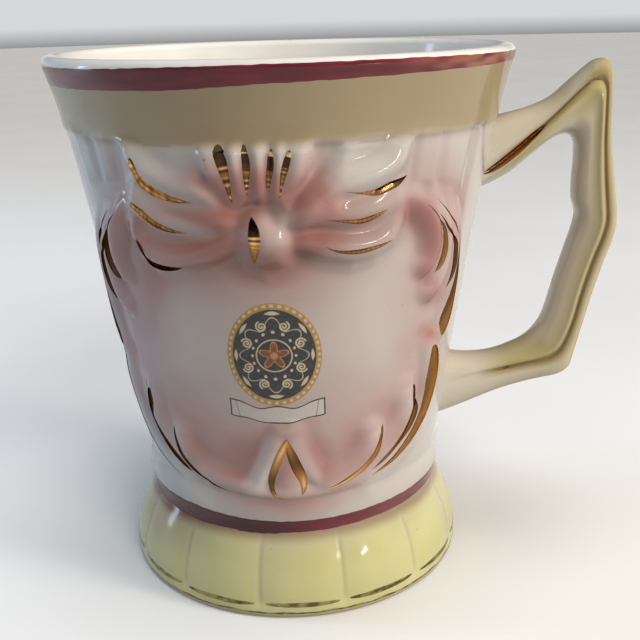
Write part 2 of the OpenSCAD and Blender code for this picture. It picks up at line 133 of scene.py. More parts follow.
def on_panel(u, z):
    """u on the front panel, and z, in one shape."""
    return [np.array(part) for part in np.broadcast_arrays(folded(u), np.asarray(z, float))]


def wall_r(z):
    s = (z - PANEL_Z) / (SHOULDER_Z - PANEL_Z)
    return NECK_R + (SHOULDER_R - NECK_R) * s - 4 * WALL_HOLLOW * s * (1 - s)


def outside_r(z):
    """Radius of the plain outside of the cup, from the waist to the lip."""
    z = np.asarray(z, float)
    bead = NECK_R + BEAD_OUT * np.sin(math.pi * np.clip((z - FOOT_H) / (PANEL_Z - FOOT_H), 0, 1))
    r, height = spline(COLLAR, 121).T
    return np.where(z < PANEL_Z, bead, np.where(z < COLLAR[0][1], wall_r(z), np.interp(z, height, r)))


# The moulded relief. Its places are given as they are seen on the plain wall from the camera,
# because that is how they were measured, and under() finds where they really are.

# Least distance out to the camera, in mm, that under() counts with near the mug's outline
LEAST_OUTWARD = 20


def under(u, z, height):
    """The place on the wall below a point over it that is seen at (u, z) from the camera."""
    r = wall_r(z)
    a = np.radians(u + FRONT)
    x, y, up = CAMERA_PLACE[0] - r * np.cos(a), CAMERA_PLACE[1] - r * np.sin(a), CAMERA_PLACE[2] - z
    outward = x * np.cos(a) + y * np.sin(a)
    around = y * np.cos(a) - x * np.sin(a)
    k = height / np.maximum(outward, LEAST_OUTWARD)
    return u + np.degrees(k * around / r), z + k * up


# Raised fields as (height, softness of the edge, outline)
PADS = [
    (1.6, 4.6, [(5, 88), (8, 93), (13.5, 96.5), (16.5, 103.5), (34.5, 103.5), (35, 97), (34.6, 91),
        (35, 86), (33, 81.5), (28, 78.5), (21, 77.5), (12.5, 79), (5, 82.4)]),
    (1.6, 4.8, [(-7.5, 88), (-11.5, 92.5), (-14.5, 96), (-15, 103.5), (-37.5, 103.5), (-38, 96),
        (-39.5, 90), (-41, 84), (-38.5, 79), (-33, 76.5), (-26, 76.8), (-16.5, 78.8), (-7.5, 82.6)]),
    (1.5, 5, [(-20.5, 103.5), (-18, 97), (-10, 91), (4, 91), (9.5, 96), (10.5, 103.5)]),
    (1.3, 5, [(-10, 83.6), (-8.4, 88.2), (-4.6, 90.4), (0, 90.4), (4, 88.2), (6, 83.6), (4, 79.2), (-2, 77),
        (-8, 79.2)]),
    (0.5, 2.5, [(36.5, 105), (36.5, 93), (44.5, 92), (44.8, 105)]),
    (0.5, 2.5, [(46, 105), (46, 93), (57, 90), (58, 105)]),
    (0.5, 2.5, [(-48, 105), (-47.5, 94), (-41.5, 95), (-41.5, 105)]),
    (0.5, 2.5, [(-62, 105), (-60, 92), (-50, 94), (-50.5, 105)]),
]

# Ridges as (width to the left of the path, width to its right, [(u, z, height)])
FAN = [
    (4.6, 2.2, [(-13.6, 102.5, 1.2), (-13, 98, 1.2), (-9.5, 91.5, 0.2)]),
    (1.9, 1.9, [(-7.3, 102.5, 1.2), (-7, 98, 1.2), (-6, 91.5, 0.3)]),
    (1.9, 1.9, [(-1.9, 102.5, 1.2), (-1.9, 98, 1.2), (-2, 91.5, 0.3)]),
    (1.7, 1.7, [(3, 102.5, 1.2), (2.6, 98, 1.2), (1.5, 91.5, 0.3)]),
    (2.6, 4.4, [(7.8, 102, 1.5), (7.2, 98, 1.4), (4.6, 91.8, 0.3)]),
]
KNOT = [
    (6.9, 6.9, [(-2.8, 84.5, 2.5), (-1.4, 84.1, 2.6), (0.2, 83.8, 2.5)]),
    (5, 5, [(5, 89, 2.1), (8.5, 90, 2.1), (13, 91.2, 1.5)]),
]
WINGS = [
    (4.4, 3.2, [(5, 91, 1), (12, 93.4, 1.3), (20, 94.7, 1.3), (26, 96.2, 1.3), (31, 98.8, 1.2),
        (33.4, 102.5, 0.9)]),
    (4.4, 3.0, [(5, 88.6, 1), (12, 88.9, 1.2), (20, 88.5, 1.2), (26, 89.4, 1.2), (30.5, 91, 0.9)]),
    (3.6, 3.6, [(4.5, 84.2, 1.2), (13, 83, 1.2), (20, 82.1, 1.3), (26, 82.3, 1.3), (31, 84, 1.1),
        (33.4, 87.5, 0.9), (33, 91, 0.4)]),
    (3.2, 4.4, [(-9, 91.5, 0.8), (-15, 93.5, 1.1), (-22, 94.4, 1.3), (-28, 96.2, 1.4), (-33, 99.3, 1.2),
        (-36, 102.5, 0.9)]),
    (3.0, 4.4, [(-8.5, 88.5, 0.9), (-15, 88, 1.1), (-22, 87.4, 1.2), (-28, 88.2, 1.2), (-35.5, 91.2, 1)]),
    (3.6, 3.6, [(-8, 84.4, 1), (-15, 82, 1.1), (-22, 80.5, 1.3), (-29, 80.4, 1.3), (-35, 82, 1.2),
        (-38.6, 85.5, 1), (-38.6, 89.5, 0.5)]),
]
SCROLLS = [
    (2.8, 4.8, [(34, 91, 0.8), (38, 90.4, 1.6), (43, 88.2, 2.2), (47.5, 84.6, 2.4), (50, 80.5, 2.4),
        (50, 77.3, 2.2), (48, 75.2, 1.9)]),
    (3.2, 4.6, [(45, 89.3, 0.6), (50, 86.3, 1.4), (54.5, 82, 1.9), (57, 77.5, 2.1), (56.6, 73, 2.1),
        (53.5, 69.8, 1.9), (51, 69, 1.6)]),
    (3.2, 4.4, [(51, 88.3, 0.5), (56, 85.5, 1.2), (61, 81, 1.7), (65, 75.5, 1.9), (68, 69.5, 2),
        (69, 64, 2), (66.5, 60, 1.9), (61.5, 57.2, 1.5)]),
]
LEAVES = [
    (6, 3.8, [(55.3, 55.8, 1.4), (58.4, 52.6, 1.7), (60.6, 49, 1.9), (60.8, 46, 1.9), (59.4, 42.6, 1.7),
        (56, 38.7, 1.5), (49.6, 34.8, 1.3), (41, 31.5, 1.1), (31, 29.2, 0.9)]),
    (3.8, 4.8, [(45, 48.4, 0.9), (46.6, 46, 1.5), (47.2, 42, 1.7), (43.8, 38, 1.5), (38, 34.2, 1.3),
        (30, 31.4, 1)]),
    (4.2, 4.6, [(31.2, 40, 1.1), (32, 38, 1.6), (29.5, 34.8, 1.6), (24, 32.1, 1.4), (17, 30.8, 1.3)]),
]
# How far out and down the left side's scrolls and leaves lie from the mirrored right side's
SCROLL_MOVES = [(3.4, 1), (4, 2.4), (5.5, 2.6)]
LEAF_MOVES = [(8, 1.5), (5, 0.8), (6, 1)]
LEFT_HEIGHT = 0.75
CUSP = [
    (2.8, 4.4, [(30, 29.7, 1), (20, 29.2, 1.3), (13.5, 29.6, 1.4), (10.2, 31.4, 1.2), (7.6, 34.6, 1),
        (4.6, 38.6, 1), (2.6, 42, 1.1)]),
    (3.6, 2.8, [(-30, 30.4, 1.1), (-20, 29.4, 1.4), (-13, 29, 1.6), (-9.4, 30, 1.6), (-6.8, 33.4, 1.5),
        (-3.5, 38, 1.4), (0, 42, 1.1)]),
    (6.2, 6.2, [(1.4, 38, 1.3), (0.9, 35.5, 1.5), (1, 32, 1.7), (1.2, 30, 1.7)]),
    (3.4, 2.8, [(-26, 28.6, 1), (-14, 27.6, 1.4), (0, 27, 1.6), (14, 27.6, 1.4), (26, 28.6, 1)]),
]
# Hollows as (width to the left, width to the right, [(u, z, depth)])
DENTS = [
    (4.5, 4.5, [(17, 100, 0.5), (24, 100.5, 0.9), (29, 101.3, 0.5)]),
    (4.5, 4.5, [(-20, 100, 0.6), (-26, 100.8, 0.9), (-31, 102, 0.5)]),
]
# Where the relief ends: half its arc and the fade before it in degrees, and its top and the fade there
PANEL_ARC, SIDE_FADE, RELIEF_TOP, TOP_FADE = 71, 3, 103.8, 2.8
# How ridges and fields blend where they overlap: the higher, the sharper the crease between them
BLEND_POWER, FIELD_POWER = 2.6, 4
# Pieces of a path between two of its places, and a distance beyond all others
PATH_STEPS, FAR = 8, 1e9


def placed(rows):
    """Rows with their places moved from where they are seen to where they are."""
    return [(left, right, [(*under(*place), place[2]) for place in path]) for left, right, path in rows]


def mirrored(rows, moves, share=1):
    """Rows of the right side for the left one, moved out and down, with a share of their height."""
    return [
        (right, left, [(-u - out, z - down, share * height) for u, z, height in path])
        for (left, right, path), (out, down) in zip(rows, moves)
    ]


RIDGES = placed(FAN + KNOT + WINGS + CUSP)
for shapes, moves in ((placed(SCROLLS), SCROLL_MOVES), (placed(LEAVES), LEAF_MOVES)):
    RIDGES += shapes + mirrored(shapes, moves, LEFT_HEIGHT)
HOLLOWS = placed(DENTS)


def from_segment(x, y, ax, ay, vx, vy):
    """The nearest point to (x, y) on a segment from a along v: its share of v, and the way from it."""
    t = np.clip(((x - ax) * vx + (y - ay) * vy) / (vx * vx + vy * vy), 0, 1)
    return t, x - ax - t * vx, y - ay - t * vy


def path_bump(u, z, left, right, path):
    """Height at (u, z) of a smooth ridge along a path, with a soft fall to each side."""
    total = np.zeros(u.shape)
    line = spline(path, PATH_STEPS * (len(path) - 1) + 1)
    reach = max(left, right)
    margin = (reach / np.radians(NECK_R), reach)
    low, high = line[:, :2].min(0) - margin, line[:, :2].max(0) + margin
    near = (u > low[0]) & (u < high[0]) & (z > low[1]) & (z < high[1])
    if not near.any():
        return total
    k = np.radians(wall_r(z[near]))
    x, y = u[near] * k, z[near]
    best, height, side = np.full(x.shape, FAR), np.zeros(x.shape), np.zeros(x.shape)
    for (au, ay, start), (bu, by, end) in zip(line[:-1], line[1:]):
        vx, vy = (bu - au) * k, by - ay
        t, dx, dy = from_segment(x, y, au * k, ay, vx, vy)
        far = dx * dx + dy * dy
        closer = far < best
        best = np.where(closer, far, best)
        height = np.where(closer, start + t * (end - start), height)
        side = np.where(closer, (vx * dy - vy * dx) / np.hypot(vx, vy), side)
    off = np.sqrt(best)
    lean = 0.5 + 0.5 * side / np.maximum(off, 1e-6)
    t = np.clip(off / (right + (left - right) * lean), 0, 1)
    total[near] = height * (1 - t * t) ** 2
    return total


def pad_rise(u, z, height, soft, outline):
    """Height of a raised field with a soft edge."""
    ring = np.array([under(a, b, height) for a, b in outline])
    k = np.radians(wall_r(z))
    x, y = u * k, z
    inside, least = np.zeros(x.shape, bool), np.full(x.shape, FAR)
    for (au, ay), (bu, by) in zip(ring, np.roll(ring, -1, 0)):
        ax, vx, vy = au * k, (bu - au) * k, by - ay
        _, dx, dy = from_segment(x, y, ax, ay, vx, vy)
        least = np.minimum(least, dx * dx + dy * dy)
        if vy:
            inside ^= ((ay > y) != (by > y)) & (x < ax + (y - ay) / vy * vx)
    edge = np.where(inside, 1, -1) * np.sqrt(least)
    return height * fade(edge, -soft * 0.4, soft * 0.6)


def blended(heights, power):
    return sum(height**power for height in heights) ** (1 / power)


def rise(u, z):
    """Height of the relief over the plain wall."""
    v, z = on_panel(u, z)
    crests = blended((path_bump(v, z, *row) for row in RIDGES), BLEND_POWER)
    dips = blended((path_bump(v, z, *row) for row in HOLLOWS), BLEND_POWER)
    fields = blended((pad_rise(v, z, *row) for row in PADS), FIELD_POWER)
    sides = 1 - fade(np.abs(v), PANEL_ARC - SIDE_FADE, PANEL_ARC)
    return np.maximum(fields + crests - dips, 0) * sides * fade(RELIEF_TOP - z, 0, TOP_FADE)


def on_cup(u, z, lift):
    """Places on the cup's outside, lift millimetres over the relief."""
    return turned(u, outside_r(z) + rise(u, z) + lift, z)


# Meshes

def new_object(name, data):
    made = bpy.data.objects.new(name, data)
    bpy.context.scene.collection.objects.link(made)
    return made


def grid_faces(rows, cols, closed, first):
    """Faces of a grid of places, row by row, joined round if it is closed."""
    i, j = np.meshgrid(np.arange(rows - 1), np.arange(cols if closed else cols - 1), indexing="ij")
    k = (j + 1) % cols
    quads = np.stack([i * cols + j, i * cols + k, (i + 1) * cols + k, (i + 1) * cols + j], -1)
    return (quads.reshape(-1, 4) + first).tolist()


def join_grids(name, grids, closed=False, capped=False):
    """One smooth object of several grids of places, with faces over its ends if capped."""
    places, faces = [], []
    for grid in grids:
        faces += grid_faces(*grid.shape[:2], closed, len(places))
        places += grid.reshape(-1, 3).tolist()
    if capped:
        cols = grids[0].shape[1]
        faces += [list(range(cols))[::-1], list(range(len(places) - cols, len(places)))]
    mesh = bpy.data.meshes.new(name)
    mesh.from_pydata((np.array(places) * MM).tolist(), [], faces)
    mesh.polygons.foreach_set("use_smooth", np.ones(len(mesh.polygons), bool))
    mesh.update()
    return new_object(name, mesh)


def keep(piece, name, values, kind="FLOAT", field="value"):
    """Stores a number or a colour for each vertex, which the material reads by name."""
    layer = piece.data.attributes.new(name, kind, "POINT")
    layer.data.foreach_set(field, np.asarray(values, np.float32).ravel())


def finish_piece(piece, node, material):
    piece.data.materials.append(material)
    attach(piece, "root")
    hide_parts(node)


# Materials

# Glazes
WHITE, CREAM_GLAZE, BISQUE = (0.59, 0.54, 0.495), (0.64, 0.58, 0.46), (0.84, 0.82, 0.77)
PINK, DEEP_PINK = (0.47, 0.235, 0.205), (0.34, 0.124, 0.1)
# Painted cool light: mauve pinks and grey-blue white on the left side, where the cool light would fall
MAUVE, CHILLED = (0.42, 0.265, 0.28), (0.4, 0.43, 0.44)
OLIVE, LIME, HANDLE_OLIVE = (0.352, 0.265, 0.125), (0.60, 0.57, 0.235), (0.45, 0.375, 0.165)
# Brown of the kiln specks, and of painted shade: in the relief's hollows, under the collar, on the foot and
# in the handle's groove
POOLED, GROOVE_BROWN = (0.24, 0.125, 0.095), (0.20, 0.125, 0.055)
# Maroon paint: thin, full, darkened by painted shade, and worn
MAROON_THIN, MAROON = (0.115, 0.014, 0.02), (0.2, 0.028, 0.042)
MAROON_THICK, MAROON_WORN = (0.045, 0.005, 0.009), (0.34, 0.13, 0.06)
# Gold colours that paint in reflections of the dark, the room and a light, its stains, and its colours at
# grazing angles
GOLD_DARK, GOLD_BROWN, GOLD_BRIGHT = (0.045, 0.025, 0.015), (0.36, 0.17, 0.06), (0.92, 0.62, 0.27)
GOLD_STAIN, EDGE_DARK, EDGE_BRIGHT = (0.16, 0.075, 0.03), (0.22, 0.14, 0.09), (0.75, 0.5, 0.28)
WORN_DARK, WORN_PALE = (0.12, 0.09, 0.028), (0.34, 0.28, 0.11)
# Inks of the print
CREAM, CHARCOAL, OCHRE = (0.60, 0.50, 0.33), (0.025, 0.022, 0.024), (0.42, 0.24, 0.06)
RUST, PAPER = (0.23, 0.055, 0.02), (0.56, 0.50, 0.45)


class Nodes:
    """The nodes of a new material or world, with a short call for each kind used here."""

    def __init__(self, owner, shader="Principled BSDF", coordinates="Object"):
        owner.use_nodes = True
        self.owner = owner
        self.tree = owner.node_tree
        self.shader = self.tree.nodes[shader]
        self.coord = self.tree.nodes.new("ShaderNodeTexCoord").outputs[coordinates]

    def link(self, value, socket):
        if isinstance(value, bpy.types.NodeSocket):
            self.tree.links.new(value, socket)
        else:
            socket.default_value = (*value, 1) if socket.type == "RGBA" else value

    def add(self, kind, inputs, **settings):
        node = self.tree.nodes.new("ShaderNode" + kind)
        for name, value in settings.items():
            setattr(node, name, value)
        for name, value in inputs.items():
            self.link(value, node.inputs[name])
        return node

    def attribute(self, name, output="Fac"):
        return self.add("Attribute", {}, attribute_name=name).outputs[output]

    def noise(self, scale, detail=3, stretch=None):
        place = self.coord
        if stretch:
            place = self.add("Mapping", {"Vector": place, "Scale": stretch}).outputs["Vector"]
        return self.add("TexNoise", {"Vector": place, "Scale": scale, "Detail": detail}).outputs["Fac"]

    def band(self, value, low, high, to_low=0, to_high=1):
        """value from low to high becomes to_low to to_high, softly and held at both ends."""
        inputs = {"Value": value, "From Min": low, "From Max": high, "To Min": to_low, "To Max": to_high}
        return self.add("MapRange", inputs, interpolation_type="SMOOTHSTEP").outputs["Result"]

    def maths(self, kind, a, b):
        return self.add("Math", {0: a, 1: b}, operation=kind).outputs["Value"]

    def mix(self, factor, a, b):
        return self.add("Mix", {"Factor": factor, "A": a, "B": b}, data_type="RGBA").outputs["Result"]

    def set(self, **values):
        for name, value in values.items():
            self.link(value, self.shader.inputs[name.replace("_", " ")])

    def finish(self, colour, grain, smooth, rough, bumps, strength, distance=0.0002, **values):
        """Sets the colour, the roughness from a grain and fine bumps, and returns the material."""
        self.set(Base_Color=colour, Roughness=self.band(grain, 0.3, 0.7, smooth, rough), **values)
        skin = self.add("Bump", {"Height": bumps, "Distance": distance, "Strength": strength})
        self.set(Normal=skin.outputs["Normal"])
        return self.owner


def new_material(name):
    return Nodes(bpy.data.materials.new(name))


def tinted(nodes, colour, **tints):
    """Lays each tint over the colour where the attribute of its name is."""
    for name, tint in tints.items():
        colour = nodes.mix(nodes.attribute(name), colour, tint)
    return colour


def mottled(nodes, name, scale, low, high):
    """The attribute, a little uneven."""
    mottle = nodes.band(nodes.noise(scale, 4), 0.2, 0.8, low, high)
    return nodes.maths("MULTIPLY", nodes.attribute(name), mottle)


def glaze(nodes, colour):
    """A glassy skin over the colour, faintly uneven, with a few specks from the kiln."""
    speck = nodes.band(nodes.noise(700, 1), 0.79, 0.82)
    cloud = nodes.band(nodes.noise(70, 4), 0.3, 0.7, 0, 0.09)
    colour = nodes.mix(cloud, colour, POOLED)
    colour = nodes.mix(nodes.maths("MULTIPLY", speck, 0.55), colour, POOLED)
    return nodes.finish(colour, nodes.noise(160, 3), 0.09, 0.17, nodes.noise(260, 2), 0.12, IOR=1.52)


def cup_glaze():
    nodes = new_material("cup_glaze")
    # The cool tints paint the cool light on the left side
    colour = tinted(nodes, WHITE, chill=CHILLED, inside=BISQUE)
    pinks = tinted(nodes, PINK, cool=MAUVE)
    colour = nodes.mix(mottled(nodes, "pink", 120, 0.88, 1.1), colour, pinks)
    # The last tint is painted shade and dark lines
    return glaze(nodes, tinted(nodes, colour, deep=DEEP_PINK, green=OLIVE, pooled=POOLED))


def foot_glaze():
    nodes = new_material("foot_glaze")
    colour = nodes.mix(mottled(nodes, "green", 150, 0.85, 1.1), WHITE, LIME)
    # Painted shade and dark lines over the green
    return glaze(nodes, tinted(nodes, colour, pooled=POOLED))


def handle_glaze():
    nodes = new_material("handle_glaze")
    # The groove's dark line is painted shade
    return glaze(nodes, tinted(nodes, CREAM_GLAZE, green=HANDLE_OLIVE, pooled=GROOVE_BROWN))


def maroon_paint():
    nodes = new_material("maroon_paint")
    streaks = nodes.noise(60, 5, (1, 1, 6))
    colour = nodes.mix(nodes.band(streaks, 0.35, 0.7), MAROON_THIN, MAROON)
    # Darker maroon where painted shade lies on a band's left side
    colour = tinted(nodes, colour, thick=MAROON_THICK, worn=MAROON_WORN)
    return nodes.finish(colour, streaks, 0.14, 0.26, streaks, 0.15, IOR=1.42)


def gold():
    nodes = new_material("gold")
    wear = nodes.noise(420, 4)
    tone = nodes.attribute("tone")
    # The tone paints reflections into the colour: dark where the gold would mirror the dark room, bright
    # where it would mirror a light
    colour = nodes.mix(nodes.band(tone, 0, 0.5), GOLD_DARK, GOLD_BROWN)
    colour = nodes.mix(nodes.band(tone, 0.4, 1), colour, GOLD_BRIGHT)
    colour = nodes.mix(nodes.band(wear, 0.52, 0.75, 0, 0.5), colour, GOLD_STAIN)
    nodes.set(Metallic=1.0, Specular_Tint=nodes.mix(nodes.band(tone, 0, 0.4), EDGE_DARK, EDGE_BRIGHT))
    return nodes.finish(colour, wear, 0.13, 0.3, nodes.noise(700, 3), 0.22)


def worn_gold():
    nodes = new_material("worn_gold")
    wear = nodes.noise(380, 5, (1, 1, 2))
    colour = nodes.mix(nodes.band(wear, 0.4, 0.62), WORN_DARK, WORN_PALE)
    return nodes.finish(colour, wear, 0.25, 0.5, wear, 0.2, Metallic=0.6)


def print_ink():
    nodes = new_material("print_ink")
    grain = nodes.noise(1500, 2)
    colour = nodes.mix(nodes.band(grain, 0.45, 0.75, 0, 0.06), nodes.attribute("ink", "Color"), WHITE)
    return nodes.finish(colour, grain, 0.12, 0.2, grain, 0.1, 0.0001, IOR=1.5)


# The cup

# Airbrushed passes as (half width, [(u, z, strength)])
AIRBRUSH = [
    (15, [(-14, 88, 0.7), (-6, 89, 0.85), (2, 88, 0.85), (9, 87.5, 0.6)]),
    (6, [(-12, 90, 0.6), (-6, 92, 0.9), (0, 92, 0.9), (5, 91, 0.8), (9, 88.5, 0.6)]),
    (5, [(1, 80.6, 0.5), (5.5, 82.2, 0.8), (9, 85.4, 0.8)]),
    (5.4, [(-10, 86, 0.5), (-9.4, 82, 0.65), (-6, 78.6, 0.55), (0, 78, 0.45), (5, 79, 0.4)]),
    (5.4, [(-10, 89.5, 0.6), (-17, 89.7, 0.45), (-24, 90.4, 0.26), (-32, 91.6, 0.1)]),
    (5.4, [(-9, 84.5, 0.6), (-17, 83.4, 0.52), (-26, 83.4, 0.45), (-35, 84.8, 0.25)]),
    (9, [(-33, 84, 0.12), (-22, 85, 0.2), (-10, 86, 0.5)]),
    (8, [(8, 87, 0.5), (15, 86, 0.25), (24, 86, 0.1)]),
    (5.6, [(8, 90, 0.6), (14, 90.3, 0.42), (20, 90.7, 0.3), (30, 92, 0.22)]),
    (5.6, [(7, 86.2, 0.75), (12, 85.8, 0.58), (18, 85.3, 0.4), (28, 85.6, 0.28)]),
    (7, [(-14, 95, 0.45), (-8, 95, 0.7), (-1, 95.5, 0.8), (6, 95, 0.55)]),
    (4.4, [(11, 99, 0.4), (11.5, 95, 0.6), (14, 92.3, 0.4)]),
    # Pink airbrush and painted shadow under the bow
    (9, [(-36, 76, 0.45), (-20, 77.5, 0.5), (-6, 77, 0.55), (6, 76.5, 0.45), (18, 78, 0.25)]),
    (15, [(-34, 44, 0.5), (-22, 37, 0.65), (-8, 36, 0.75), (8, 36, 0.7), (20, 37, 0.55), (29, 44, 0.35)]),
    (7, [(-30, 34, 0.35), (-23, 32.8, 0.36), (-16, 33.4, 0.34), (-13, 36, 0.25)]),
    (6, [(10, 37, 0.25), (12, 33.6, 0.35), (17, 31.8, 0.34), (24, 31.6, 0.3)]),
    (10, [(38, 80, 0.25), (42, 72, 0.35), (46, 62, 0.5), (45, 53, 0.5), (39, 47, 0.35)]),
    (9, [(37, 95, 0.4), (45, 93, 0.55), (52, 90, 0.6), (59, 86, 0.5)]),
    (16, [(-45, 88, 0.6), (-46, 80, 0.85), (-48, 72, 0.9), (-51, 61, 0.75), (-50, 48, 0.6)]),
    (11, [(-42, 82, 0.4), (-45, 74, 0.5), (-47, 66, 0.4)]),
    (9, [(-56, 80, 0.6), (-60, 70, 0.7), (-60, 60, 0.6), (-57, 50, 0.4)]),
    (4.6, [(-13, 94, 0.6), (-10, 91, 0.95), (-4, 90.8, 1), (3, 90.4, 0.9), (7, 88, 0.45), (8.5, 84, 0.5)]),
    (9, [(-34, 84, 0.2), (-24, 86, 0.25), (-14, 86, 0.5)]),
    # Painted shade under the ledge over the waist bead, in pink-brown
    (4.6, [(-24, 26, 0.2), (-12, 24.8, 0.5), (2, 24.2, 0.65), (14, 24.8, 0.5), (26, 26, 0.2)]),
    (8, [(16, 86, 0.15), (24, 86.5, 0.22), (32, 87.5, 0.3), (37, 85, 0.3)]),
    (30, [(-8, 76, 0.2), (2, 66, 0.24), (4, 54, 0.28), (2, 44, 0.34)]),
]
# Places kept pale as painted highlights: on the knot, in the troughs beside it and on the left wing's
# folds; and pale along the ridges beside the pendant
PALE = [
    (4.2, [(-6.4, 86.2, 0.2), (-2, 85.8, 0.16), (0.6, 85, 0.3), (2.6, 84.4, 0.24)]),
    (3.8, [(4, 91, 0.1), (6.4, 89.9, 0.17), (10, 89.6, 0.12)]),
    (4, [(-26, 94, 0.3), (-19, 92.8, 0.55), (-14, 92.4, 0.35)]),
    (2.8, [(-27, 87.2, 0.3), (-20.5, 86.8, 0.45), (-15, 86, 0.3)]),
    (4.2, [(-3, 88.6, 0.2), (-0.5, 88.6, 0.42), (2.5, 87.6, 0.42)]),
    (3.4, [(-2.6, 39.6, 0.6), (-5, 35.4, 0.85), (-8.4, 31, 0.9), (-11, 28.6, 0.7)]),
    (3, [(4.6, 39.6, 0.3), (7.2, 35.4, 0.45), (9.4, 31, 0.5)]),
]
# Brownish passes of painted shade: the bow's shadow under it, shade over the pendant, and on the right wing
SHADED = [
    (15, [(-24, 74, 0.1), (-4, 73, 0.17), (12, 74, 0.14), (22, 75, 0.06)]),
    (17, [(-16, 47, 0.08), (2, 46, 0.16), (16, 47, 0.12)]),
    (6, [(14, 84.5, 0.08), (24, 84.2, 0.18), (31, 85.5, 0.12)]),
    (4.6, [(10.5, 85.2, 0.22), (15, 86, 0.28), (22, 88.8, 0.26), (28, 90.6, 0.14)]),
]
# Passes on the scrolls and the leaves of the right side, which the left side mirrors: pink airbrush, and
# painted shade on the scrolls' inner slopes, under their tips and in the leaves' recesses
SCROLL_BRUSH = [
    (5.4, [(35.5, 88.2, 0.9), (40, 87, 1), (44, 83.7, 1), (45.8, 80.3, 0.95), (45.4, 75.5, 0.6)]),
    (3.2, [(44, 74, 0.35), (46, 73, 0.55), (48.5, 72.6, 0.45)]),
    (4.2, [(47.5, 69.7, 0.5), (50, 67.8, 0.75), (53, 67.2, 0.75), (57, 67.5, 0.4)]),
    (4, [(50.5, 60.8, 0.5), (53.5, 59.2, 0.75), (57.5, 57.7, 0.6)]),
    (5, [(52, 83, 0.4), (56.5, 77.5, 0.55), (56, 72.5, 0.55), (53, 70, 0.45)]),
    (4.5, [(60, 80, 0.35), (63, 74, 0.4), (63, 68, 0.4), (58, 64, 0.3)]),
    (4, [(48, 81.5, 0.4), (48.8, 77.5, 0.5), (46.5, 75.5, 0.5)]),
]
LEAF_BRUSH = [
    (4.6, [(48.5, 50, 0.3), (52, 47.8, 0.42), (56, 46.3, 0.3)]),
    (5, [(36.3, 45.3, 0.3), (39.5, 43, 0.45), (43, 40.8, 0.3)]),
    (5.2, [(25.2, 42, 0.25), (25.7, 39, 0.4), (26.5, 36.5, 0.3)]),
    (5, [(54, 44, 0.4), (50, 40, 0.5), (44, 36.5, 0.45)]),
    (4.5, [(42, 39, 0.35), (37, 36, 0.45), (32, 33.5, 0.4)]),
]
SCROLL_BRUSH_MOVE, LEAF_BRUSH_MOVE = (3.6, 1.5), (5.5, 1)

# Height from which the rows of the cup's mesh follow the collar, and their step
COLLAR_ROWS_Z, COLLAR_STEP = 105, 0.6
# Radii of the rings of vertices on its floor and on its underside
FLOOR_RINGS = (20, 10, 0.5)
# Heights of the painted shadow under the collar and of the green on it, and how far left the painted cool
# light begins and is full
COLLAR_FOOT_Z, COLLAR_GREEN, COOL_LEFT = 102.1, (101, 103.9), (30, 48)


def brushed(rows):
    """Passes as rows of ridges, moved to where they are."""
    return [(width, width, [(*under(*place[:2], 1), place[2]) for place in path]) for width, path in rows]


def left_bare(u, z, rows):
    """What some passes leave uncovered, from 1 for all of it down to 0."""
    bare = np.ones(u.shape)
    for row in rows:
        bare *= 1 - path_bump(u, z, *row)
    return bare


def airbrushed(u, z):
    v, z = on_panel(u, z)
    sided = brushed(SCROLL_BRUSH + LEAF_BRUSH)
    moves = [SCROLL_BRUSH_MOVE] * len(SCROLL_BRUSH) + [LEAF_BRUSH_MOVE] * len(LEAF_BRUSH)
    passes = brushed(AIRBRUSH) + sided + mirrored(sided, moves)
    # Pink, except where the pale passes paint highlights
    return (1 - left_bare(v, z, passes)) * left_bare(v, z, brushed(PALE))


def shaded(u, z):
    v, z = on_panel(u, z)
    return sum(path_bump(v, z, *row) for row in brushed(SHADED))


def both_panels(shape, z):
    """A function of (u, z) all round, worked out once, because the back repeats the front."""
    return np.tile(shape(AROUND[: STEPS_ROUND // 2], z), 2)


def hollowness(height):
    """How far each place lies under the mean of four places about 3 mm away."""
    near = sum(np.roll(height, steps, axis) for steps, axis in ((6, 1), (-6, 1), (8, 0), (-8, 0)))
    return near / 4 - height


def arc(r, z, out, up, degrees):
    """(radius, height) along a part of an ellipse round (r, z)."""
    a = np.radians(degrees)
    return np.stack([r + out * np.cos(a), z + up * np.sin(a)], -1)


def cup_profile():
    """(radius, height) from the middle of the underside to that of the floor, and the outside's rows."""
    low = [(r, FOOT_H) for r in (*FLOOR_RINGS[::-1], 30, NECK_R - 0.3)]
    out_z = np.concatenate([
        np.arange(FOOT_H, PANEL_Z, ROW_STEP * 2), np.arange(PANEL_Z, COLLAR_ROWS_Z, ROW_STEP),
        np.arange(COLLAR_ROWS_Z, LIP_Z, COLLAR_STEP)])
    out = np.stack([outside_r(out_z), out_z], -1)
    lip = arc(RIM_R - WALL_T / 2, LIP_Z, WALL_T / 2, MUG_H - LIP_Z, np.linspace(0, 180, 33))
    inner_z = np.linspace(SHOULDER_Z, FLOOR_Z + FLOOR_FILLET, 40)
    inner = np.stack([wall_r(inner_z) - WALL_T, inner_z], -1)
    corner = inner[-1] - (FLOOR_FILLET, 0)
    fillet = arc(*corner, FLOOR_FILLET, -FLOOR_FILLET, np.linspace(10, 90, 9))
    floor = [(r, FLOOR_Z) for r in FLOOR_RINGS]
    rows = np.concatenate([low, out, lip, inner, fillet, floor])
    return rows, len(low), len(low) + len(out)


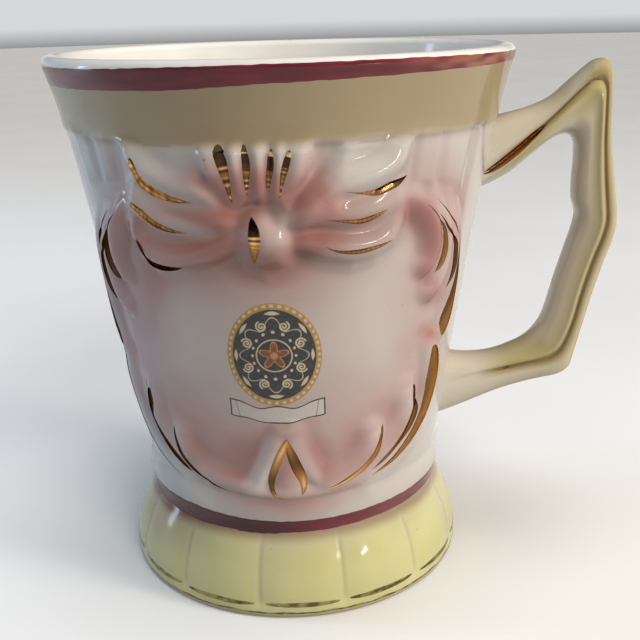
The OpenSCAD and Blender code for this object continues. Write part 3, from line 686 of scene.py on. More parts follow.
def colour_cup(cup, z, height, first, last):
    """Keeps the cup's colours; height is its relief, and first to last are its outside's rows."""
    outside, pink, shade = np.zeros((3, *height.shape))
    outside[first:last] = 1
    pink[first:last] = both_panels(airbrushed, z[first:last])
    shade[first:last] = both_panels(shaded, z[first:last])
    # Painted cool light on the left: mauve pinks, less deep pink, and grey-blue white that fades out at the
    # sides
    cool = np.broadcast_to(fade(-folded(AROUND), *COOL_LEFT), height.shape)
    # Painted shadow under the overhang of the collar
    under_collar = bell(z - COLLAR_FOOT_Z, 0.7) * (height < 0.5)
    keep(cup, "pink", pink)
    keep(cup, "deep", 0.75 * fade(pink, 0.55, 1.02) * (1 - 0.75 * cool))
    keep(cup, "cool", cool)
    keep(cup, "chill", 0.45 * cool * to_sides(AROUND))
    keep(cup, "inside", 1 - outside)
    keep(cup, "green", 0.92 * outside * fade(z + 0.4 * noise(AROUND, z, 60, 3), *COLLAR_GREEN))
    # Painted shade: in the relief's hollows, under the collar, and the brownish passes
    pooled = np.clip(0.25 * hollowness(height), 0, 0.25) + 0.3 * under_collar + shade
    keep(cup, "pooled", outside * pooled)


def make_cup():
    profile, first, last = cup_profile()
    r, z = profile[:, :1], profile[:, 1:]
    height = np.zeros((len(profile), STEPS_ROUND))
    height[first:last] = both_panels(rise, z[first:last])
    cup = join_grids("cup", [turned(AROUND, r + height, z)], closed=True, capped=True)
    colour_cup(cup, z, height, first, last)
    finish_piece(cup, "cup_body", cup_glaze())


# The foot

# Heights of the lowest rows, the step of the rows above, and how far the edge is worn back
FOOT_LOW_ROWS, FOOT_ROW_STEP = [0.15, 0.4, 0.7, 1.1, 1.6], 0.35
FOOT_WEAR = [0.45, 0.22, 0.08]
# Grooves between pleats: depth and width of the sharp line, and of the hollow round it
LINE_DEPTH, LINE_WIDTH, HOLLOW_DEPTH, HOLLOW_WIDTH = 0.14, 0.5, 0.42, 3.5
# Middle and width in degrees of the painted shade beside the left outline
SHADE_U, SHADE_WIDTH = 302, 24


def bell_r(z):
    """Radius of the foot's outside, without its pleats."""
    inward = FOOT_R - FOOT_TOP_R
    tall = FOOT_H - FOOT_NECK_H - FOOT_RIM_H
    radius = (inward**2 + tall**2) / (2 * inward)
    up = np.asarray(z, float) - FOOT_RIM_H
    bend = FOOT_R - radius + np.sqrt(radius**2 - np.clip(up, 0, tall) ** 2)
    neck = FOOT_TOP_R + (NECK_R - FOOT_TOP_R) * np.clip((up - tall) / FOOT_NECK_H, 0, 1)
    return np.where(up > tall, neck, bend)


def to_groove(u):
    """Degrees from the nearest groove between two pleats."""
    step = 360 / PLEATS
    return np.abs((u - FIRST_PLEAT + step / 2) % step - step / 2)


def pleat_depth(u, z):
    off = np.radians(to_groove(u)) * bell_r(z)
    groove = LINE_DEPTH * bell(off, LINE_WIDTH) + HOLLOW_DEPTH * bell(off, HOLLOW_WIDTH)
    return groove * fade(z, 1.2, 4) * (1 - 0.6 * fade(z, 14, 18.5))


def on_foot(u, z, lift):
    return turned(u, bell_r(z) - pleat_depth(u, z) + lift, z)


def colour_foot(foot, z, rows):
    """Keeps the colours of the foot, whose first rows are its outside."""
    outside = np.arange(len(z))[:, None] < rows
    off = to_groove(AROUND)
    green = (0.72 + 0.22 * fade(18 - z, 0, 8)) * (1 - 0.14 * bell(off - 1.6, 1.0))
    # A darker line along each groove
    line = 0.26 * bell(off, 0.6) * fade(z, 3, 6) * (1 - fade(z, 15, 18))
    edge = 0.5 * fade(1.6 - z, 0, 0.9)
    # Painted shade beside the left outline, stronger higher up
    shade = (0.14 + 0.4 * fade(z, 6, 14)) * bell(AROUND - SHADE_U, SHADE_WIDTH)
    keep(foot, "green", outside * green)
    # Painted shadow under the waist band, with the groove lines, the darker lower edge and the painted
    # shade
    keep(foot, "pooled", outside * (np.maximum(line, 0.7 * fade(z, 15.4, 18)) + edge + shade))


def make_foot():
    out_z = np.array([*FOOT_LOW_ROWS, *np.arange(FOOT_RIM_H, FOOT_H, FOOT_ROW_STEP), FOOT_H])[:, None]
    wear = np.zeros(out_z.shape)
    wear[: len(FOOT_WEAR), 0] = FOOT_WEAR
    outer = on_foot(AROUND, out_z, -wear)
    top = FOOT_H - FLANGE_T
    inner_z = np.linspace(top, 0, 24)
    rings = [(NECK_R - FLANGE_W, FOOT_H), (NECK_R - FLANGE_W, top)]
    rings += [*zip(bell_r(inner_z) - FOOT_T, inner_z), (FOOT_R - 1, 0)]
    inside = np.array(rings)
    grid = np.concatenate([outer, turned(AROUND, inside[:, :1], inside[:, 1:]), outer[:1]])
    foot = join_grids("foot", [grid], closed=True)
    colour_foot(foot, grid[:, :1, 2], len(out_z))
    finish_piece(foot, "foot_skirt", foot_glaze())


# The handle

# Stations along it as (inner x, inner z, outer x, outer z, groove's share of the way across, groove)
STATIONS = [
    (40, 84.5, 43, 100.3, 0.25, 0.3), (44.5, 86.2, 47.7, 101.7, 0.28, 0.8),
    (49.5, 88.8, 52, 102.7, 0.4, 1), (53.6, 92.1, 56, 104, 0.5, 1),
    (56.9, 94.8, 59.3, 105.8, 0.58, 1), (59.8, 96.7, 62.4, 108.6, 0.64, 1),
    (61.7, 97.2, 65.4, 111.2, 0.7, 1), (62.8, 97, 67.6, 112.8, 0.74, 1),
    (63.6, 96.4, 69.8, 113.0, 0.76, 1), (64.1, 95.4, 71.2, 111.2, 0.75, 1),
    (64.4, 94.0, 71.6, 107, 0.73, 1), (64.5, 91, 71.9, 98, 0.72, 1),
    (64.3, 87, 73.0, 89.5, 0.7, 1), (64.4, 83, 74.0, 83, 0.69, 1),
    (65.3, 79.4, 74.5, 78.2, 0.66, 1), (64.9, 76.3, 74.0, 73.9, 0.63, 1),
    (63.8, 72.3, 72.5, 69.6, 0.62, 1), (62.4, 67.5, 70.9, 64.2, 0.62, 1),
    (61.1, 62.8, 69.6, 59.3, 0.63, 1), (60.0, 58.3, 68.5, 54.6, 0.64, 1),
    (58.9, 54.8, 67.4, 50, 0.62, 1), (57.6, 52.6, 66.5, 46.0, 0.58, 1),
    (56.0, 50.8, 65.6, 43.0, 0.5, 1), (54.0, 49.3, 63.2, 41.3, 0.44, 1),
    (51.5, 48.1, 59.0, 40.4, 0.4, 1), (48.5, 46.9, 54.0, 39.2, 0.36, 1),
    (45.0, 46.2, 49.0, 37.6, 0.34, 0.8), (41.5, 46.1, 44.0, 35.5, 0.35, 0.5),
    (37.5, 46.5, 38.5, 33.1, 0.38, 0.2), (33.5, 47, 33.5, 31.2, 0.4, 0),
]
# Thickness, how much thicker the roots are, depth of the groove, and vertices round half a section
HANDLE_W, ROOT_FLARE, GROOVE_DEPTH, RING = 11.5, 2.5, 1.15, 49
# Share of the length over which each root flares, and the powers that round the section
ROOT_LENGTH, ROUND_IN, ROUND_OUT = 0.16, 2.6, 2.3
# Where the cream of the roots begins to give way to green
ROOT_X = 42
# Rows of the handle's mesh, and the stations made smooth in so many steps
HANDLE_ROWS, HANDLE_STEPS = 320, 600
HANDLE_LINE = spline(STATIONS, HANDLE_STEPS)


def handle_at(along):
    """Inner x and z, outer x and z, groove's share and groove's depth, at along from 0 to 1."""
    return [np.interp(along, np.linspace(0, 1, HANDLE_STEPS), column) for column in HANDLE_LINE.T]


def half_thickness(along, across, share, depth):
    """Half the handle's thickness, where along and across run from 0 to 1."""
    root = np.clip(1 - np.minimum(along, 1 - along) / ROOT_LENGTH, 0, 1)
    half = (HANDLE_W + ROOT_FLARE * root**2) / 2
    round_off = np.clip(1 - np.abs(2 * across - 1) ** ROUND_IN, 0, 1) ** (1 / ROUND_OUT)
    off = across - share
    groove = 0.75 * bell(off, 0.035) + 0.4 * bell(off - 0.04, 0.1)
    brow = 0.3 * bell(off + 0.13, 0.055)
    slope = 0.22 * bell(off + 0.33, 0.12)
    return (half - GROOVE_DEPTH * depth * (groove - brow + slope)) * round_off


def on_handle(along, across, side, lift):
    """Places on the handle's side (1 or -1), lift millimetres over it."""
    inner_x, inner_z, outer_x, outer_z, share, depth = handle_at(along)
    x = inner_x + (outer_x - inner_x) * across
    y = half_thickness(along, across, share, depth) + lift
    z = inner_z + (outer_z - inner_z) * across
    return np.stack(np.broadcast_arrays(x, side * y, z), -1)


def colour_handle(handle, along, across, x):
    """Keeps the handle's colours: green along its groove, cream at its roots, and painted shade in a dark
    line along the groove.
    """
    off = across - handle_at(along)[4]
    upright = fade(along, 0.2, 0.3) * (1 - fade(along, 0.68, 0.8))
    corner = bell(along - 0.25, 0.04) + bell(along - 0.78, 0.06)
    outer = fade(off, 0, 0.06)
    green = 0.6 * bell(off, 0.12) + outer * (0.15 + 0.6 * upright) + 0.3 * corner
    green = green + (1 - outer) * (0.66 * fade(off, -0.6, -0.26) + 0.05)
    # Painted shade: a dark line along the groove
    line = 0.6 * bell(off - 0.012, 0.03) + 0.4 * bell(off - 0.07, 0.08)
    keep(handle, "green", np.clip(green, 0, 1) * fade(x, ROOT_X, ROOT_X + 10))
    keep(handle, "pooled", np.clip(line, 0, 0.9) * fade(x, ROOT_X, ROOT_X + 8))


def make_handle():
    along = np.linspace(0, 1, HANDLE_ROWS)[:, None]
    across = (1 - np.cos(np.linspace(0, math.pi, RING))) / 2
    near = on_handle(along, across, -1, 0)
    far = on_handle(along, across[::-1], 1, 0)
    ring = np.concatenate([near, far[:, 1:-1]], 1)
    handle = join_grids("handle_loft", [ring], closed=True, capped=True)
    colour_handle(handle, along, np.concatenate([across, across[::-1][1:-1]]), ring[..., 0])
    finish_piece(handle, "handle", handle_glaze())


# Painted bands

# Their lower and upper edges as (u, height), read on the front
RIM_LOW = [(-75, 111.2), (-40, 111.5), (-20, 111.8), (0, 112.8), (20, 113.3), (40, 113.7), (70, 113.9)]
RIM_HIGH = [(-75, 114.9), (-40, 115.5), (-20, 115.9), (0, 116.2), (30, 116.3), (70, 115.9)]
WAIST_LOW = [(-60, 17.8), (-10, 17.8), (10, 18.1), (35, 18.7), (60, 18.9)]
WAIST_HIGH = [(-60, 22), (-35, 22), (-15, 21.3), (0, 21.1), (15, 21.3), (35, 21.9), (60, 22.2)]
# Share of the way up a band, row by row, and how uneven its edges are
UP = np.linspace(0, 1, 15)[:, None]
RAGGED = 0.07


def edge_of(u, places):
    """Height of a hand-painted edge at u, with the mean of its heights at the back."""
    us, zs = np.array(places, float).T
    back = zs.mean()
    return np.interp((u + 180) % 360 - 180, [-180, *us, 180], [back, *zs, back])


def on_rim(u, z, lift):
    """Places on the collar and the outer half of the lip."""
    over = np.clip((z - LIP_Z) / (MUG_H - LIP_Z), 0, 1)
    lip = RIM_R - WALL_T / 2 * (1 - np.sqrt(1 - over**2))
    return turned(u, np.where(z > LIP_Z, lip, outside_r(z)) + lift, z)


def on_waist(u, z, lift):
    return turned(u, np.where(z < FOOT_H, bell_r(z), outside_r(z)) + lift, z)


def make_band(name, node, low, high, surface, thick, worn):
    """A band of paint between two edges, with painted shade darkening its left side and with wear, each as
    strong as its argument says.
    """
    bottom = edge_of(AROUND, low) + RAGGED * noise(AROUND, 0, 4, 11)
    top = edge_of(AROUND, high) + RAGGED * noise(AROUND, 0, 3, 12)
    z = bottom + (top - bottom) * UP
    lift = ENAMEL_T * np.clip(np.minimum(UP, 1 - UP) * 12, 0, 1) - 0.015
    film = join_grids(name, [surface(AROUND, z, lift)], closed=True)
    on_left = (1 - fade(folded(AROUND), -8, 24)) * to_sides(AROUND)
    keep(film, "worn", np.broadcast_to(worn, z.shape))
    # Painted shade on the band's left side
    keep(film, "thick", np.broadcast_to(thick * on_left, z.shape))
    finish_piece(film, node, maroon_paint())


def make_bands():
    """The bands under the lip and round the waist, both of them more worn on the right; the waist band also
    has painted shade on its left.
    """
    patches = fade(noise(AROUND, UP * 4, 6, 5), -0.6, 0.3)
    rim_worn = 0.85 * fade(folded(AROUND), 24, 52) * to_sides(AROUND) * patches
    waist_worn = 0.12 * fade(folded(AROUND), 10, 45) * to_sides(AROUND)
    make_band("rim_enamel", "rim_band", RIM_LOW, RIM_HIGH, on_rim, 0, rim_worn)
    make_band("waist_enamel", "waist_band", WAIST_LOW, WAIST_HIGH, on_waist, 0.75, waist_worn)


# Gold strokes as (widest width, places as seen, where it is widest from 0 to 1)
BOW_GOLD = [
    (2.1, [(-10.3, 102.6), (-10, 99.5), (-9.3, 96), (-8.4, 91.5)], 0.3),
    (1.5, [(-4.5, 102.6), (-4.4, 99), (-4.6, 96), (-4.8, 93)], 0.33),
    (1.3, [(1.3, 101.8), (0.9, 98.5), (0.3, 95.5), (0.1, 93)], 0.35),
    (1.3, [(5.3, 101.3), (4.4, 98.7), (3.6, 96.2), (2.7, 92.5)], 0.35),
    (2.2, [(-4.2, 89.1), (-4, 86), (-4.1, 83), (-4.3, 79.9)], 0.45),
    (2.5, [(-34.8, 99.3), (-34.4, 97), (-32.2, 94.9), (-28, 93), (-23, 91.9), (-18.3, 91.5)], 0.36),
    (2.1, [(-38.2, 90.5), (-35, 88.6), (-31.5, 87), (-27, 85.9), (-21.2, 85.5)], 0.36),
    (2.1, [(-39.3, 83), (-38, 80.8), (-35.5, 78.8), (-31.5, 77.9), (-28, 77.9), (-24, 78.4)], 0.45),
    (1.6, [(17.7, 93.1), (22, 92.6), (26, 92.5), (30, 93.5), (34.2, 95)], 0.68),
    (1.2, [(13.8, 87.9), (18, 87.5), (22.5, 87.2), (26.5, 87.9), (29.8, 88.9)], 0.62),
    (0.95, [(13.2, 82.9), (17, 81.6), (22, 81.2), (27, 81.6), (32, 82.7)], 0.6),
]
SCROLL_GOLD = [
    (1.25, [(41.5, 89), (46, 86.6), (50, 83.4), (52.6, 80), (53.3, 77.3), (52, 74.8), (49.5, 73.4)], 0.66),
    (1.15, [(45.5, 87.6), (50, 84.7), (54, 82), (58, 79.2), (60.3, 76.5), (61.3, 73.5), (60.3, 70.8),
        (57.3, 68.7)], 0.62),
    (0.5, [(45.5, 89.4), (51, 86.3), (56, 83.2), (60.5, 80)], 0.6),
    (4.4, [(60.5, 81), (64, 76), (66.6, 70.5), (67.4, 65.6), (66.4, 61.8), (63.8, 59), (60.6, 57.2)], 0.76),
    (4.3, [(56, 56), (59, 53), (61, 49.5), (61.2, 46.4), (59.8, 43), (56.4, 39), (50, 35), (41.5, 31.5),
        (32, 29)], 0.32),
    (2.3, [(47.2, 48.7), (48.6, 45.5), (49, 42.3), (46.8, 38.5), (42, 34.9), (36, 32), (32, 30.5)], 0.32),
    (1.7, [(34.9, 41.5), (34.8, 38.5), (33.2, 35), (29.5, 32.3), (25, 30.4), (19, 28.7), (14.5, 28)], 0.4),
]
# The left side mirrors them, so far out and down, with these widths
LEFT_GOLD = [
    (3.3, 1, 2.3), (4, 2.4, 2.6), (4, 1.5, 0.8), (5.5, 2.6, 1.6), (9.5, 1.5, 1), (3.6, 0.8, 3.8),
    (6, 1, 1.3),
]
PENDANT_GOLD = [
    (1.8, [(1.8, 41.2), (0.6, 39.2), (-1, 36.9), (-3, 33.7), (-4.3, 31), (-4.2, 28.6), (-2.6, 26.9),
        (0.4, 26.2)], 0.3),
    (2.3, [(0.9, 41.2), (2.4, 38.6), (4, 35.4), (5.6, 32.8), (6.7, 30.9), (6.8, 28.8), (6, 27.2)], 0.42),
]

# Brightness of the painted reflections in gold at the start and the end of each stroke on the wings, and on
# the scrolls and
# the leaves: much of it is painted dark, as the dark of the room would be mirrored
WING_TONES = [(0.55, 0.3), (0.42, 0.25), (0.03, 0.1), (0.45, 0.12), (0.15, 0.5), (0.1, 0.3)]
SCROLL_TONES = [
    (0.1, 0.35), (0.05, 0.15), (0.2, 0.25), (0.1, 0.35), (0.3, 0.4), (0.12, 0.35), (0.25, 0.75),
    (0.02, 0.05), (0.02, 0.04), (0.02, 0.04), (0.04, 0.04), (0.04, 0.1), (0.02, 0.06), (0.05, 0.1),
]
# The bow's first strokes are on its fan, the next one is on its knot, and the others on its wings
FAN_STROKES = 4


def bow_tone(t, n):
    """Painted reflections: strokes on the fan and the knot are pale at the top, dark below that, and then
    banded.
    """
    bands = 0.5 + 0.28 * np.sin(t * (44 + 5 * n) + n) + 0.22 * np.sin(t * (71 - 7 * n) + 2 * n)
    if n < FAN_STROKES:
        return np.where(t < 0.15, 0.9, np.where(t < 0.42, 0.03, 0.06 + 0.6 * bands**2))
    if n == FAN_STROKES:
        return np.where(t < 0.42, 0.04, np.where(t < 0.72, 0.1 + 0.75 * bands, 0.3))
    start, end = WING_TONES[n - FAN_STROKES - 1]
    return (start + (end - start) * t) * (0.6 + 0.8 * bands)


def scroll_tone(t, n):
    start, end = SCROLL_TONES[n]
    return start + (end - start) * t


def pendant_tone(t, n):
    # Painted reflections in soft bands
    return 0.36 + 0.22 * np.sin(t * 8 + n * 2)


# Height in mm from which a look at a stroke is followed down to the relief, and in how many steps
LOOK_DEPTH, LOOK_STEPS = 5, 100
# Fineness of a stroke, and how far its edges sink into the glaze
SPLINE_COUNT, STROKE_COLS, STROKE_SINK = 301, 13, 0.03


def on_relief(places):
    """The real places of points that are seen at places: the first relief that a look meets."""
    seen_u, seen_z = np.array(places, float).T
    heights = np.linspace(LOOK_DEPTH, 0, LOOK_STEPS + 1)[:, None]
    at_u, at_z = under(seen_u, seen_z, heights)
    first = (rise(at_u, at_z) >= heights).argmax(0)
    one = np.arange(len(first))
    return np.stack([at_u[first, one], at_z[first, one]], -1)


def traced(rows):
    """Strokes with their places moved to where they are."""
    return [(widest, on_relief(path), peak) for widest, path, peak in rows]


def stroke_width(t, widest, peak):
    """Width along a brush stroke, pointed at both ends and widest at peak."""
    return widest * np.sin(math.pi * t ** (math.log(0.5) / math.log(peak))) ** 0.85


def stroke(widest, places, peak, side):
    """A grid along one stroke, crowned across, and how far along it each row is."""
    t = np.linspace(0.004, 0.996, 28 + 8 * len(places))[:, None]
    ends = np.linspace(0, 1, SPLINE_COUNT)
    u, z = (np.interp(t, ends, part) for part in spline(places, SPLINE_COUNT).T)
    k = np.radians(wall_r(z))
    dx, dz = np.gradient(u * k, axis=0), np.gradient(z, axis=0)
    across = np.linspace(-1, 1, STROKE_COLS)
    half = stroke_width(t, widest, peak) / 2
    reach = across * half / np.hypot(dx, dz)
    crown = GOLD_T * (1 - across**4) * np.clip(half / 0.5, 0.3, 1) - STROKE_SINK
    return on_cup(u - reach * dz / k + side, z + reach * dx, crown), t


def gild(name, node, grids, tones):
    """One piece of gold of several grids, each with its brightness."""
    piece = join_grids(name, grids)
    spread = [np.broadcast_to(tone, grid.shape[:2]).ravel() for grid, tone in zip(grids, tones)]
    keep(piece, "tone", np.concatenate(spread))
    finish_piece(piece, node, gold())


def make_strokes(name, node, rows, tone):
    """Strokes on both sides of the mug; tone(t, n) is how bright the painted reflection in stroke n is, t
    of the way along.
    """
    grids, tones = [], []
    across = np.linspace(-1, 1, STROKE_COLS)
    for side in SIDES:
        for n, row in enumerate(rows):
            grid, t = stroke(*row, side)
            shade = tone(t, n)
            # A painted sheen along the middle of each stroke, darker towards its edges
            edges = 0.12 * np.cos(across * 3) + 0.05 * np.sin(across * 5 + t * 9 + n)
            grids.append(grid)
            tones.append(shade + edges * np.clip(0.15 + 2 * shade, 0, 1))
    gild(name, node, grids, tones)


def make_gold():
    right = traced(SCROLL_GOLD)
    left = [
        (width, path * (-1, 1) - (out, down), peak)
        for (_, path, peak), (out, down, width) in zip(right, LEFT_GOLD)
    ]
    make_strokes("bow_gold", "bow_gilding", traced(BOW_GOLD), bow_tone)
    make_strokes("scroll_gold", "scroll_gilding", right + left, scroll_tone)
    make_strokes("pendant_gold", "pendant_gilding", traced(PENDANT_GOLD), pendant_tone)


# Gold in the handle's groove as (from along, to along, width as a share of the section, brightness of its
# painted reflection)
HANDLE_LINES = [
    (0.02, 0.13, 0.2, 0.45), (0.2, 0.31, 0.03, 0.35), (0.835, 0.9, 0.07, 0.8),
]
# Gold along its outer edge: from along, to along, half its width and the brightness of its painted
# reflection
EDGE_FROM, EDGE_TO, EDGE_HALF, EDGE_TONE = 0.52, 0.965, 0.016, 0.85
# How far the handle's gold lies over its glaze
HANDLE_GOLD_LIFT = 0.05


def groove_line(start, end, width):
    """A tapered line in the groove, as grids of along and across."""
    along = np.linspace(start, end, 60)[:, None]
    taper = np.sin(np.linspace(0.02, math.pi - 0.02, 60))[:, None] ** 0.8
    return along, handle_at(along)[4] + np.linspace(-0.5, 0.5, 9) * width * taper


def edge_line():
    """The line along the outer edge, as grids of along and across."""
    along = np.linspace(EDGE_FROM, EDGE_TO, 220)[:, None]
    taper = fade(along, EDGE_FROM, 0.6) * (1 - fade(along, 0.93, EDGE_TO))
    middle = 0.945 - 0.05 * fade(along, 0.78, 0.84)
    return along, middle + np.linspace(-EDGE_HALF, EDGE_HALF, 7) * taper


def make_handle_gold():
    lines = [(groove_line(start, end, width), tone) for start, end, width, tone in HANDLE_LINES]
    lines.append((edge_line(), EDGE_TONE))
    grids = [on_handle(*line, side, HANDLE_GOLD_LIFT) for side in (-1, 1) for line, _ in lines]
    gild("handle_gold", "handle_gilding", grids, [tone for _, tone in lines] * 2)


# Gold on the foot: height and width of its dashes, share of a pleat that they fill, and the low line
DASH_Z, DASH_WIDTH, DASH_FILL = 3.35, 1.25, 0.86
LOW_LINE_Z, LOW_LINE_WIDTH = 1.15, 0.5


def make_foot_gold():
    """A worn dash on each pleat, and a thin line on the foot's lower edge."""
    grids = []
    step = 360 / PLEATS
    t, s = np.linspace(0, 1, 60), np.linspace(-0.5, 0.5, 7)[:, None]
    for i in range(PLEATS):
        middle = FIRST_PLEAT + step * (i + 0.5)
        u = middle + (t - 0.5) * step * (DASH_FILL + 0.03 * math.sin(i * 2.3))
        width = (DASH_WIDTH + 0.1 * noise(u, 0, 12, 21)) * np.sin(math.pi * t * 0.98 + 0.03) ** 0.4
        z = DASH_Z + 0.1 * math.sin(i * 1.9) + 0.08 * noise(u, 0, 20, 22) + s * width
        grids.append(on_foot(u, z, 0.045 - 0.06 * (2 * s) ** 4))
    u, s = np.linspace(0, 360, 361), np.linspace(0, 1, 5)[:, None]
    z = LOW_LINE_Z + s * (LOW_LINE_WIDTH + 0.25 * noise(u, 0, 7, 23))
    grids.append(on_foot(u, z, 0.03 - 0.04 * (2 * s - 1) ** 4))
    finish_piece(join_grids("foot_gold", grids), "foot_gilding", worn_gold())


# The print: an oval medallion of scrolls round a rosette, over a blank ribbon

# Size of the oval, and the height and the direction of its middle
PRINT_W, PRINT_H, PRINT_Z, PRINT_U = 19, 23, 60.5, -0.8
RIBBON_W, RIBBON_H, RIBBON_GAP = 19.6, 4.4, 1
# How far out on the ribbon's halves its folds are drawn
FOLD_X = 8.1
# The medallion's curls: how many, how far out, size, and growth of the radius in half a turn
CURLS, CURL_OUT, CURL_R, CURL_STEP = 8, 0.6, 1.75, 0.28
# The rosette: number and length of the petals, and radii of the ring round them and of the eye
PETALS, PETAL_R, RING_R, EYE_R = 5, 3.1, 3.5, 0.7


def layered(shape, ground, layers):
    """Colours of a grid: the ground, and over it each (mask, colour) in turn."""
    colours = np.zeros((*shape, 3)) + ground
    for mask, colour in layers:
        m = np.clip(mask, 0, 1)[..., None]
        colours = colours * (1 - m) + np.array(colour) * m
    return colours


def thin_line(distance, half, soft=0.06):
    return 1 - fade(np.abs(distance), half - soft, half + soft)


def curls(x, y):
    """Spirals round the medallion, wound to the right and to the left by turns."""
    layers = []
    for i in range(CURLS):
        a = 2 * math.pi * (i + 0.5) / CURLS
        dx = x - CURL_OUT * PRINT_W / 2 * math.cos(a)
        dy = y - CURL_OUT * PRINT_H / 2 * math.sin(a)
        hand = 1 if i % 2 else -1
        r, th = np.hypot(dx, dy), (hand * (np.arctan2(dy, dx) - a)) % (2 * math.pi)
        for turn in (0, 1):
            spiral = r - CURL_STEP * (th / math.pi + 2 * turn)
            layers.append((thin_line(spiral, 0.16) * (r < CURL_R), CREAM))
    return layers


def vine(rho, angle):
    """A wavy stem round the medallion, with berries on both sides of it."""
    stem = (rho - 0.62 - 0.1 * np.cos(8 * angle)) * PRINT_W / 2
    outer = np.cos(8 * angle) - np.abs(rho - 0.8) * 22
    inner = np.cos(16 * angle) - np.abs(rho - 0.45) * 26
    return [
        (thin_line(stem, 0.09), CREAM), (fade(outer, 0.1, 0.3), CREAM), (fade(inner, 0.1, 0.35), CREAM)]


def rosette(r, angle):
    """Petals with dark seams, in a ring and round an eye."""
    a = angle - math.pi / 2
    petal = PETAL_R * (0.72 + 0.28 * np.cos(PETALS * a))
    seams = thin_line(np.sin(PETALS / 2 * a) * r, 0.09) * (r < petal - 0.5)
    return [
        (thin_line(r - RING_R, 0.13), CREAM), (1 - fade(r, petal, petal + 0.12), OCHRE),
        (1 - fade(r, petal - 0.35, petal - 0.2), RUST), (seams, CHARCOAL),
        (1 - fade(r, EYE_R, EYE_R + 0.15), OCHRE)]


def border(rho, angle):
    """An ochre rim with cream beads between two dark lines."""
    beads = thin_line(rho - 0.935, 0.025, 0.012) * fade(np.cos(44 * angle), -0.2, 0.3)
    lines = thin_line(rho - 0.862, 0.008, 0.004) + fade(rho, 0.985, 0.995)
    return [(fade(rho, 0.86, 0.875), OCHRE), (beads, CREAM), (lines, CHARCOAL)]


def on_print(x, y, lift):
    """Places on the cup, x and y millimetres along it from the middle of the medallion."""
    z = PRINT_Z + y
    return on_cup(PRINT_U + np.degrees(x / wall_r(z)), z, lift)


def medallion():
    """Its places and their colours."""
    rho, a = np.linspace(0.01, 1, 110)[:, None], np.radians(np.linspace(0, 360, 361))
    x, y = PRINT_W / 2 * rho * np.cos(a), PRINT_H / 2 * rho * np.sin(a)
    angle = np.arctan2(y, x)
    layers = curls(x, y) + vine(rho, angle) + rosette(np.hypot(x, y), angle) + border(rho, angle)
    return on_print(x, y, 0.02 - 0.03 * rho**30), layered(x.shape, CHARCOAL, layers)


def ribbon():
    """Its places and their colours, where s runs from end to end and t from edge to edge."""
    s, t = np.meshgrid(np.linspace(-1, 1, 210), np.linspace(-1, 1, 50))
    sag = 1.9 * s**2 + 0.2 * np.cos(s * 9)
    x = RIBBON_W / 2 * s
    y = -PRINT_H / 2 - RIBBON_H / 4 - RIBBON_GAP + sag + t * RIBBON_H / 2 * (0.86 + 0.1 * np.cos(s * 7))
    lift = 0.045 - 0.05 * np.maximum(np.abs(s), np.abs(t)) ** 30
    rim = np.minimum((1 - np.abs(t)) * RIBBON_H / 2, (1 - np.abs(s)) * RIBBON_W / 2)
    fold = thin_line(np.abs(x) - FOLD_X - 0.4 * t, 0.07) * (np.abs(t) < 0.92)
    layers = [(thin_line(rim - 0.2, 0.17), CHARCOAL), (fold * 0.8, CHARCOAL)]
    return on_print(x, y, lift), layered(x.shape, PAPER, layers)


def make_print():
    grids, inks = zip(medallion(), ribbon())
    film = join_grids("print_film", grids)
    ink = np.concatenate([part.reshape(-1, 3) for part in inks])
    keep(film, "ink", np.insert(ink, 3, 1, axis=1), "FLOAT_COLOR", "color")
    finish_piece(film, "front_print", print_ink())


def make_camera():
    data = bpy.data.cameras.new("camera")
    data.lens = CAMERA_LENS
    data.sensor_width = SENSOR_WIDTH
    data.clip_start, data.clip_end = NEAREST, FARTHEST
    camera = new_object("camera", data)
    camera.location = Vector(CAMERA_PLACE) * MM
    turn = Vector(CAMERA_AIM).to_track_quat("-Z", "Y") @ Quaternion((0, 0, 1), CAMERA_ROLL)
    camera.rotation_euler = turn.to_euler()
    bpy.context.scene.camera = camera


# The floor and the lights, in metres

FLOOR_R, FLOOR_SIDES = 4, 48
FLOOR_GREY, FLOOR_PALE = (0.88, 0.87, 0.86), (0.91, 0.90, 0.89)
# The point on the mug's axis that the area lights face
LIGHT_AIM = (0, 0, 0.06)
# The room's brightness at the horizon and above, the share of it that is left below, and its tint
HORIZON, CEILING, BELOW = 0.72, 0.09, 0.3
ROOM_TINT = (0.93, 0.95, 0.97)


def make_floor():
    mesh = bpy.data.meshes.new("floor")
    turns = [2 * math.pi * i / FLOOR_SIDES for i in range(FLOOR_SIDES)]
    ring = [(FLOOR_R * math.cos(a), FLOOR_R * math.sin(a), 0) for a in turns]
    mesh.from_pydata(ring, [], [tuple(range(FLOOR_SIDES))])
    floor = new_object("floor", mesh)
    nodes = new_material("floor_paper")
    tone = nodes.mix(nodes.band(nodes.noise(9, 2), 0.3, 0.7), FLOOR_GREY, FLOOR_PALE)
    nodes.set(Base_Color=tone, Roughness=0.6)
    mesh.materials.append(nodes.owner)
    floor.visible_diffuse = False


def new_light(name, kind, towards, power, colour, mirrored):
    """A light that shines from the direction towards; mirrored says if glossy surfaces show it."""
    data = bpy.data.lights.new(name, kind)
    data.energy = power
    data.color = colour
    light = new_object(name, data)
    light.visible_glossy = mirrored
    light.rotation_euler = Vector(towards).to_track_quat("Z", "Y").to_euler()
    return light


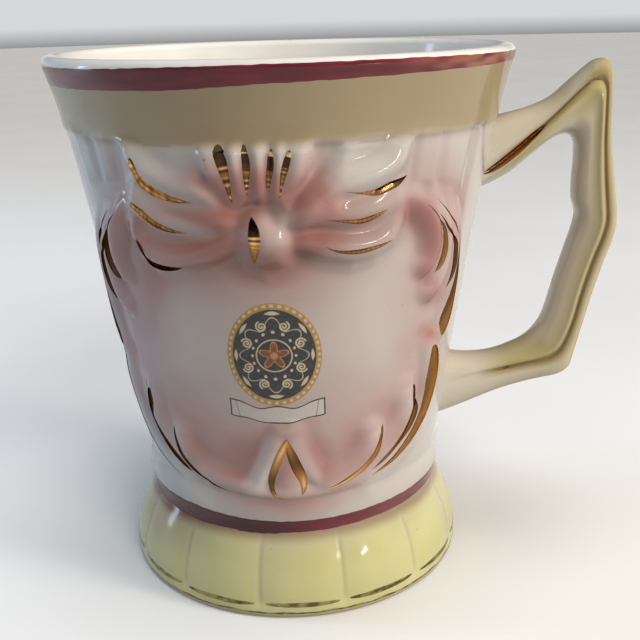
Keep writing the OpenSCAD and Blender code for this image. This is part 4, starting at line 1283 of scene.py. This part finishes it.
def area_light(name, place, size, power, colour, mirrored=True):
    light = new_light(name, "AREA", Vector(place) - Vector(LIGHT_AIM), power, colour, mirrored)
    light.data.shape = "RECTANGLE"
    light.data.size, light.data.size_y = size
    light.location = place
    light.visible_camera = False


def sun_lamp(name, towards, strength, degrees, colour):
    light = new_light(name, "SUN", towards, strength, colour, False)
    light.data.angle = math.radians(degrees)


def make_world():
    """A room that is pale along the horizon and dim above, so that the glaze has something to mirror."""
    nodes = Nodes(bpy.data.worlds.new("studio"), "Background", "Generated")
    up = nodes.add("SeparateXYZ", {"Vector": nodes.coord}).outputs["Z"]
    below = {"Value": up, "From Min": -0.03, "From Max": 0.0, "To Min": BELOW, "To Max": 1}
    dimmed = nodes.add("MapRange", below).outputs["Result"]
    room = nodes.band(up, 0.04, 0.2, HORIZON, CEILING)
    nodes.set(Strength=nodes.maths("MINIMUM", room, dimmed), Color=ROOM_TINT)
    bpy.context.scene.world = nodes.owner


def make_lights():
    sun_lamp("key_lamp", (0.4, -0.7, 0.6), 1.1, 26, (1, 0.96, 0.91))
    sun_lamp("high_lamp", (0.05, -0.05, 1), 1.2, 30, (1, 0.98, 0.95))
    area_light("right_softbox", (0.66, -0.27, 0.34), (0.22, 0.45), 3.4, (1, 0.93, 0.84), False)
    area_light("right_strip", (0.66, -0.27, 0.34), (0.06, 0.45), 0.5, (1, 0.95, 0.9))
    area_light("left_window", (-0.6, 0.1, 0.3), (0.2, 0.6), 1.5, (0.44, 0.7, 1), False)
    area_light("left_strip", (-0.6, 0.06, 0.16), (0.05, 0.26), 0.3, (0.6, 0.8, 1))
    area_light("front_lamp_left", (0.5, -0.54, 0.15), (0.022, 0.022), 0.16, (1, 0.97, 0.93))
    area_light("front_lamp_right", (0.54, -0.5, 0.17), (0.022, 0.022), 0.16, (1, 0.97, 0.93))
    make_world()
    bpy.context.scene.view_settings.view_transform = "Standard"


make_camera()
make_cup()
make_foot()
make_handle()
make_bands()
make_gold()
make_handle_gold()
make_foot_gold()
make_print()
make_floor()
make_lights()
